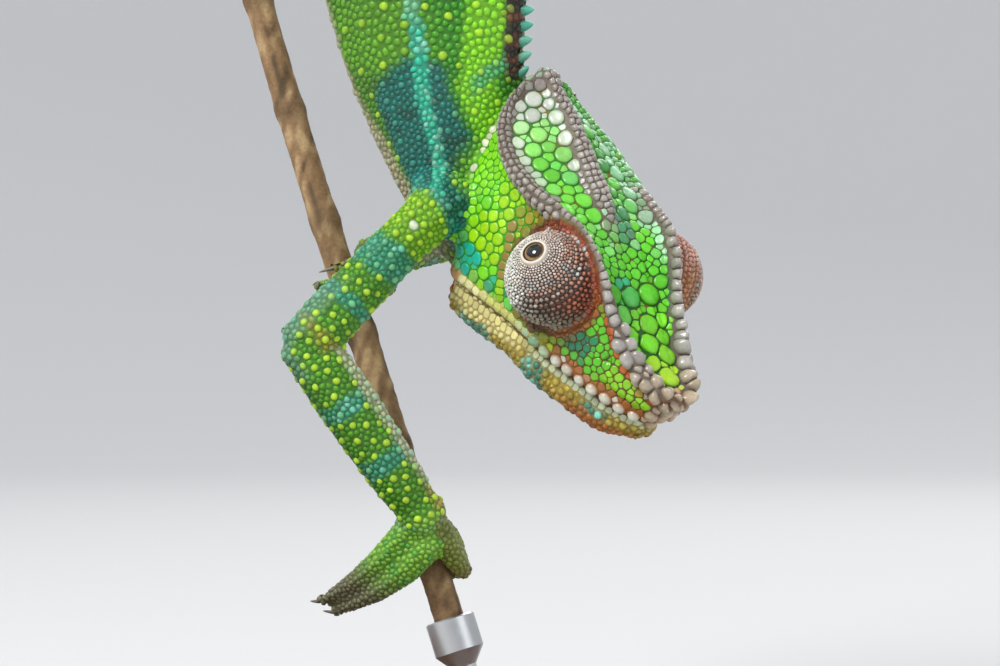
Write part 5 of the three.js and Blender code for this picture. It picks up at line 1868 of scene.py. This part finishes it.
def crest_cones(made):
    """The crest along the back, and the small one under the chin."""
    shares = np.linspace(0.17, 0.97, 4000)
    back = spline(SPINE["back"], shares) + ANIMAL_AT
    rise = unit(back - spline(SPINE["belly"], shares) - ANIMAL_AT)
    chosen = every(back, BACK_CONES_EVERY)
    heights = np.interp(shares[chosen], [0.17, 0.3, 0.5, 0.97], [1.4, 2.1, 2.3, 1.3])
    places, _ = skin.project(back[chosen])
    colours = painted(places, rgb(70, 178, 150), (rgb(140, 206, 176), rng.random(len(places))))
    make_cones("crest_cones", places, rise[chosen], heights, colours, made)
    shares = np.linspace(0.12, 0.94, 2000)
    chin = from_head(spline(JAW_LINES["chin"], shares))
    chosen = every(chin, CHIN_CONES_EVERY)
    places, normals = skin.project(chin[chosen])
    heights = np.interp(shares[chosen], [0.12, 0.4, 0.94], [1.5, 1.8, 1.0])
    colours = painted(places, rgb(206, 196, 120))
    make_cones("chin_cones", places, unit(normals - 0.35 * HEAD_AXES[0]), heights, colours, made)


# ---------------------------------------------------------------- eyes, claws


def lathe(profile, axis_at, axis, around=64):
    """Corners and squares of a profile of (radius, distance along the axis) turned round it."""
    axis = unit(np.asarray(axis, float))
    across, other = (v[0] for v in tangents(axis[None]))
    outward = spokes(round_turn(around), across, other)
    rings = np.stack([axis_at + axis * along + outward * radius for radius, along in profile])
    return rings.reshape(-1, 3), ring_squares(len(profile), around)


def finished(thing, made, replaced=()):
    thing.data.materials.clear()
    thing.data.materials.append(made)
    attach(thing, "root")
    if replaced:
        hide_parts(*replaced)
    return thing


EYEBALL_RADIUS = 2.75
EYEBALL_AT = 6.35
PUPIL_SHIFT = np.array([0.05, 0.03, 0.1])
# Along the eyeball from the pupil's middle: where the pupil ends and the gold ring ends.
PUPIL_EDGE = (1.48, 1.54)
RING_EDGE = (1.9, 2.1)
# The lid rim's rolled edge: its middle's radius and height over the turret's centre, and its own
# half width and half height.
RIM_AT = (2.17, 8.36)
RIM_HALF = (0.3, 0.34)
RIM_SKIRT = [(2.62, 8.15), (2.75, 7.4)]


def make_eye(side, wet):
    """The eyeball with its black pupil and its gold ring."""
    centre, gaze = turret_centre(side), gaze_of(side)
    polar = np.linspace(0.0, 2.2, 46)
    profile = [(EYEBALL_RADIUS * math.sin(a), EYEBALL_AT + EYEBALL_RADIUS * math.cos(a)) for a in polar]
    corners, faces = lathe(profile, centre, gaze, 72)
    look = unit(gaze + PUPIL_SHIFT @ HEAD_AXES)
    outward = unit(corners - (centre + gaze * EYEBALL_AT))
    along = np.arccos(np.clip(outward @ look, -1, 1)) * EYEBALL_RADIUS
    gold = rgb(170, 128, 62) * (0.75 + 0.25 * hash_noise(corners, 0.25, 2.0))[:, None]
    colours = painted(
        corners, rgb(10, 8, 8), (gold, ramp(along, *PUPIL_EDGE)), (rgb(46, 30, 18), ramp(along, *RING_EDGE)),
    )
    eye = new_object("eyeball_" + side, corners, faces, colours)
    return finished(eye, wet, ["eye_" + side])


def make_lid_rim(side, made):
    """The smooth pale ring of lid round the opening."""
    centre, gaze = turret_centre(side), gaze_of(side)
    profile = [
        (RIM_AT[0] + RIM_HALF[0] * math.cos(a), RIM_AT[1] + RIM_HALF[1] * math.sin(a))
        for a in np.radians(200 - np.arange(25) / 24 * 215)
    ]
    corners, faces = lathe(profile + RIM_SKIRT, centre, gaze, 72)
    across = corners - centre
    radial = np.linalg.norm(across - np.outer(across @ gaze, gaze), axis=1)
    colours = painted(
        corners, rgb(222, 214, 200),
        (rgb(96, 70, 50), 1 - ramp(radial, 1.9, 2.02)), (rgb(150, 138, 124), ramp(radial, 2.4, 2.7)),
    )
    rim = new_object("lid_rim_" + side, corners, faces, colours)
    return finished(rim, made)


def make_claw(name, made):
    """A claw's CAD mesh, rounded."""
    mesh = modified(name + "_source", *node_mesh(name), "SUBSURF", {"levels": 2}, MM)
    mesh.name = name + "_shape"
    mesh.shade_smooth()
    thing = bpy.data.objects.new(name + "_horn", mesh)
    bpy.context.scene.collection.objects.link(thing)
    return finished(thing, made, [name])


# ---------------------------------------------------------------- stem and stand


def make_stem(made):
    """The stem with its bark, its knots and its cut ends."""
    rings, around = 900, 40
    axis = spline(STEM_AXIS, np.linspace(0, 1, rings)) + ANIMAL_AT
    heading = unit(np.gradient(axis, axis=0))
    first = unit(np.cross(heading, [0, 1.0, 0]))
    second = np.cross(heading, first)
    height = axis[:, 2]
    thick, thin_end = STEM_RADIUS
    radius = thick + (thin_end - thick) * (height - height[0]) / np.ptp(height)
    knot = np.cos((height - ANIMAL_AT[2]) / STEM_KNOT_EVERY * 2 * math.pi) ** 24
    radius = radius * 0.94 + KNOT_RISE * knot
    outward = spokes(round_turn(around), first[:, None], second[:, None])
    flat = (axis[:, None] + outward * radius[:, None, None]).reshape(-1, 3)
    stretched = flat * np.array([1, 1, 0.3])
    relief = 0.07 * hash_noise(stretched, 0.9, 1.0) + 0.09 * hash_noise(flat, 3.5, 6.0)
    flat = flat + outward.reshape(-1, 3) * relief[:, None]
    shade = hash_noise(stretched, 2.5, 8.0)
    colours = painted(
        flat, rgb(138, 108, 74),
        (rgb(176, 148, 108), ramp(shade, 0, 0.6)),
        (rgb(84, 66, 44), ramp(-shade, 0.1, 0.7)),
        (rgb(92, 70, 46), np.repeat(knot, around) * 0.5),
    )
    corners = np.vstack([flat, axis[0], axis[-1]])
    colours = np.vstack([colours, np.tile(rgb(186, 164, 120), (2, 1))])
    stem = new_object("perch_stem_bark", corners, closed_rings(rings, around), colours)
    return finished(stem, made, ["perch_stem"])


def make_base(made):
    """The board with round corners and a rounded upper edge."""
    half_x, half_y = BASE["length"] / 2, BASE["width"] / 2
    corner, bevel, top = BASE["corner"], BASE["bevel"], BASE["height"]
    outline = []
    for turn, (sign_x, sign_y) in enumerate(((1, 1), (-1, 1), (-1, -1), (1, -1))):
        for step in range(17):
            angle = (turn + step / 16) * math.pi / 2
            outline.append((
                sign_x * (half_x - corner) + corner * math.cos(angle),
                sign_y * (half_y - corner) + corner * math.sin(angle),
                math.cos(angle), math.sin(angle),
            ))
    outline = np.array(outline)
    edge = np.linspace(0, math.pi / 2, 7)
    rings = [(0.5, 0.0), (0.0, 0.5)]
    rings += [(bevel * (1 - math.cos(a)), top - bevel + bevel * math.sin(a)) for a in edge]
    layers = [
        np.column_stack([outline[:, :2] - outline[:, 2:] * inset, np.full(len(outline), height)])
        for inset, height in rings
    ]
    corners = np.vstack(layers + [np.array([[0, 0, 0], [0, 0, top]])])
    base = new_object("stand_board", corners, closed_rings(len(rings), len(outline)), smooth=False)
    return finished(base, made, ["stand_base"])


def make_rod(made):
    """The round rod with its cup for the stem, and the flange on the board."""
    stem_end = STEM_AXIS[0] + ANIMAL_AT
    lean = unit(spline(STEM_AXIS, np.array([0.002]))[0] - np.array(STEM_AXIS[0]))
    floor_at = BASE["height"] + 0.3
    foot = stem_end + lean * (floor_at - stem_end[2]) / lean[2]
    length = np.linalg.norm(stem_end - foot) - 0.3
    radius, cup, flange = ROD["radius"], ROD["cup_radius"], ROD["flange_radius"]
    low, high = length - ROD["cup_floor"], length + ROD["cup_depth"]
    inside = cup - ROD["cup_wall"]
    profile = [
        (radius, 1), (radius, low - 2.9), (radius + 0.1, low - 2.7), (cup - 0.15, low - 0.1),
        (cup, low + 0.1), (cup, high - 0.25), (cup - 0.25, high), (inside + 0.1, high),
        (inside, high - 0.1), (inside, length + 0.02), (0.01, length),
    ]
    collar = [(flange - 0.1, 0), (flange, 0.1), (flange - 0.72, 2.2), (flange - 0.95, 2.4), (0.01, 2.4)]
    collar_at = np.array([foot[0], foot[1], floor_at])
    shape = joined([lathe(profile, foot, lean, 64), lathe(collar, collar_at, (0, 0, 1), 72)])
    rod = new_object("stand_rod_steel", *shape)
    rod.data.set_sharp_from_angle(angle=math.radians(32))
    return finished(rod, made, ["stand_rod"])


# ---------------------------------------------------------------- assembly

def add_scales():
    """Every scale's place: fixed rows first, then the fill between them, then evened out."""
    add_ridges()
    add_eye_columns()
    add_mouth_gap()
    add_lips()
    for side in SIDES:
        add_lid_grains(side)
    add_head_fill()
    add_body_fill()
    tint_tubercles()
    settle(4)
    coat.node, _, _ = skin.owner(coat.points)


def by_turret(points):
    """Masks of points on the right and on the left turret."""
    right = points[:, 1] < HEAD_AT[1]
    return zip(SIDES, (right, ~right))


def colour_scales():
    """Each scale a little lighter or darker at random, and its rim's colour, darkened as painted shade."""
    shade = rng.normal(0, 0.09, len(coat.points))
    coat.colour = np.clip(coat.colour * np.exp(shade)[:, None], 0, 1)
    coat.edge = shaded_grooves(coat.points, coat.node, coat.colour)
    # Painted shade: the lid grains' rims dark brown for the gaps between them, less so in the folds and on
    # the far side of the left turret.
    for side, half in by_turret(coat.points):
        grains = (coat.kind == LID_GRAIN) & half
        outward, polar = from_gaze(coat.points[grains], side)
        dark = 0.8 - 0.55 * lid_folds(outward, polar)
        if side == "left":
            dark *= 1 - 0.8 * far_share(polar)
        coat.edge[grains] = mix(coat.colour[grains], rgb(46, 28, 18), dark)


def make_hide():
    """The skin between the scales, in place of all the flesh nodes."""
    colours = surface_colours(skin.corners, skin.node, skin.length)
    # Painted shade: the bare skin takes the darkened colours from between the scales.
    colours = shaded_grooves(skin.corners, skin.node, colours)
    # Painted shade: the bare skin between the lid grains dark brown, red-brown on the far half of the left
    # turret.
    for side, half in by_turret(skin.corners):
        bare = (skin.turret > 0.5) & half
        _, polar = from_gaze(skin.corners[bare], side)
        reddish = far_share(polar) * (side == "left")
        colours[bare] = painted(polar, rgb(52, 34, 24), (rgb(128, 78, 58), reddish))
    # Painted shade: the skin darkened along the closed mouth's seam.
    colours = mix(colours, rgb(48, 36, 16), ramp(skin.groove, 0.3, 0.7))
    hide = new_object("chameleon_skin", skin.corners, skin.triangles, colours)
    finished(hide, tinted("hide", 0.55, 0.1, 0.3, 5000.0, 0.3), FLESH)


def coat_pieces():
    """Each coat piece's name, its scales, its finish and its slot, in the order of making."""
    right, left = (half for _, half in by_turret(coat.points))
    y = coat.points[:, 1] - ANIMAL_AT[1]
    large, lid = np.isin(coat.kind, LARGE), coat.kind == LID_GRAIN
    on = {word: NODE_GROUP[coat.node] == number for word, number in GROUPS.items()}
    glossy = tinted("head_scales", 0.36, 0.35, 0.16, 7000.0, 0.12, 0.1, 0.1)
    bead_gloss = tinted("ridge_beads", 0.34, 0.4, 0.15, 6000.0, 0.15, 0.12, 0.15)
    matt = tinted("body_scales", 0.45, 0.12, 0.3, 8000.0, 0.15, 0.12)
    lid_matt = tinted("lid_scales", 0.42, 0.25, 0.2, 9000.0, 0.1, 0.1)
    return [
        ("scales_head_ridges", coat.kind == BEAD, bead_gloss, "head_skin"),
        ("scales_head_plates", large, glossy, "head_skin"),
        ("scales_turret_right", lid & right, lid_matt, "lid_skin"),
        ("scales_turret_left", lid & left, lid_matt, "lid_skin"),
        ("scales_jaw", on["head"] | on["jaw"], matt, "head_skin"),
        ("scales_neck", on["neck"], matt, "body_skin"),
        ("scales_trunk_right", on["trunk"] & (y < 0), matt, "body_skin"),
        ("scales_trunk_left", on["trunk"] & (y >= 0), matt, "body_skin"),
        ("scales_tail", on["tail"], matt, "body_skin"),
        ("scales_limbs", on["limb"], matt, "body_skin"),
        ("scales_feet", on["foot"], matt, "body_skin"),
    ]


def make_coat():
    """The coat pieces: each scale goes to the first piece that takes it."""
    unwrap = Unwrap()
    root_uv = unwrap.at(coat.points)
    free = np.ones(len(coat.points), bool)
    for name, wanted, made, slot_name in coat_pieces():
        mask = wanted & free
        free &= ~mask
        chosen = [(np.flatnonzero(mask & (coat.kind == kind)), kind) for kind in STYLES]
        parts = [scale_mesh(index, kind) for index, kind in chosen if len(index)]
        corners, faces = joined([part[:2] for part in parts])
        tint, owner = (np.concatenate([part[i] for part in parts]) for i in (2, 3))
        print(name, len(faces))
        thing = new_object(name, corners, faces, tint)
        first, second = tangents(coat.normals[owner])
        offset = corners - coat.points[owner]
        local = np.stack([(offset * first).sum(1), (offset * second).sum(1)], 1)
        add_patches(thing, root_uv, np.clip(local / coat.size[owner][:, None], -1, 1), owner)
        finished(thing, made)
    print("scales", len(coat.points), "left out", int(free.sum()))


add_scales()
colour_scales()
make_hide()
make_coat()
crest_cones(tinted("cone_skin", 0.45, 0.15, 0.3, 6000.0, 0.2, 0.15))

wet_eye = tinted("wet_eye", 0.06, 1.0, 0.03, 2000.0, 0.0, 0.05)
rim_skin = tinted("lid_rim_skin", 0.4, 0.2, 0.2, 9000.0, 0.3, 0.1)
for eye_side in SIDES:
    make_eye(eye_side, wet_eye)
    make_lid_rim(eye_side, rim_skin)

claw_horn = horn()
for node_name in NODES:
    if node_name.startswith("claw"):
        make_claw(node_name, claw_horn)

make_stem(tinted("stem_bark", 0.8, 0.0, 0.3, 3500.0, 0.6, 0.2))
make_base(wood())
make_rod(steel())

# ---------------------------------------------------------------- camera, floor and light

azimuth = math.radians(VIEW_AZIMUTH)
away = Vector((-math.sin(azimuth), math.cos(azimuth), 0))
across = Vector((math.cos(azimuth), math.sin(azimuth), 0))
target = Vector(ANIMAL_AT * MM)
lens = bpy.data.cameras.new("photo_view")
lens.lens = CAMERA_LENS
lens.sensor_width = 36.0
lens.clip_start = 0.02
lens.clip_end = 60
camera = bpy.data.objects.new("photo_view", lens)
camera.location = target - away * CAMERA_DISTANCE * MM
camera.rotation_euler = (math.pi / 2, 0, azimuth)
bpy.context.scene.collection.objects.link(camera)
bpy.context.scene.camera = camera


def make_floor():
    """A wide pale floor whose edge curves up all round."""
    flat, curve, top = 1.4, 1.2, 1.35
    profile = [(0.001, 0.0), (flat, 0.0)]
    for angle in np.linspace(0.05, math.pi / 2, 20):
        profile.append((flat + curve * math.sin(angle), curve - curve * math.cos(angle)))
    profile.append((flat + curve, top))
    floor = new_object("floor", *lathe(profile, np.zeros(3), (0, 0, 1), 96), scale=1.0)
    pale, _, _ = material("pale_floor", {"Base Color": (0.74, 0.74, 0.73, 1), "Roughness": 0.9})
    floor.data.materials.append(pale)


make_floor()


def area_light(name, offset, size, power, colour=(1, 1, 1)):
    """A soft square light that faces the animal; the offset is across, away and up in metres."""
    data = bpy.data.lights.new(name, "AREA")
    data.size = size
    data.energy = power
    data.color = colour
    lamp = bpy.data.objects.new(name, data)
    lamp.location = target + across * offset[0] + away * offset[1] + Vector((0, 0, offset[2]))
    lamp.rotation_euler = (target - lamp.location).to_track_quat("-Z", "Y").to_euler()
    bpy.context.scene.collection.objects.link(lamp)


area_light("key", (-0.6, -0.75, 0.95), 0.4, 13.0, (1, 0.985, 0.96))
area_light("fill", (1.1, -0.9, 0.4), 0.9, 2.5, (0.94, 0.97, 1))
area_light("rim", (0.5, 1.0, 1.0), 0.7, 6.0)
world = bpy.data.worlds.new("studio")
world.use_nodes = True
with_values(world.node_tree.nodes["Background"], {"Color": (0.9, 0.93, 1.0, 1), "Strength": 0.7})
bpy.context.scene.world = world
bpy.context.scene.view_settings.view_transform = "Standard"
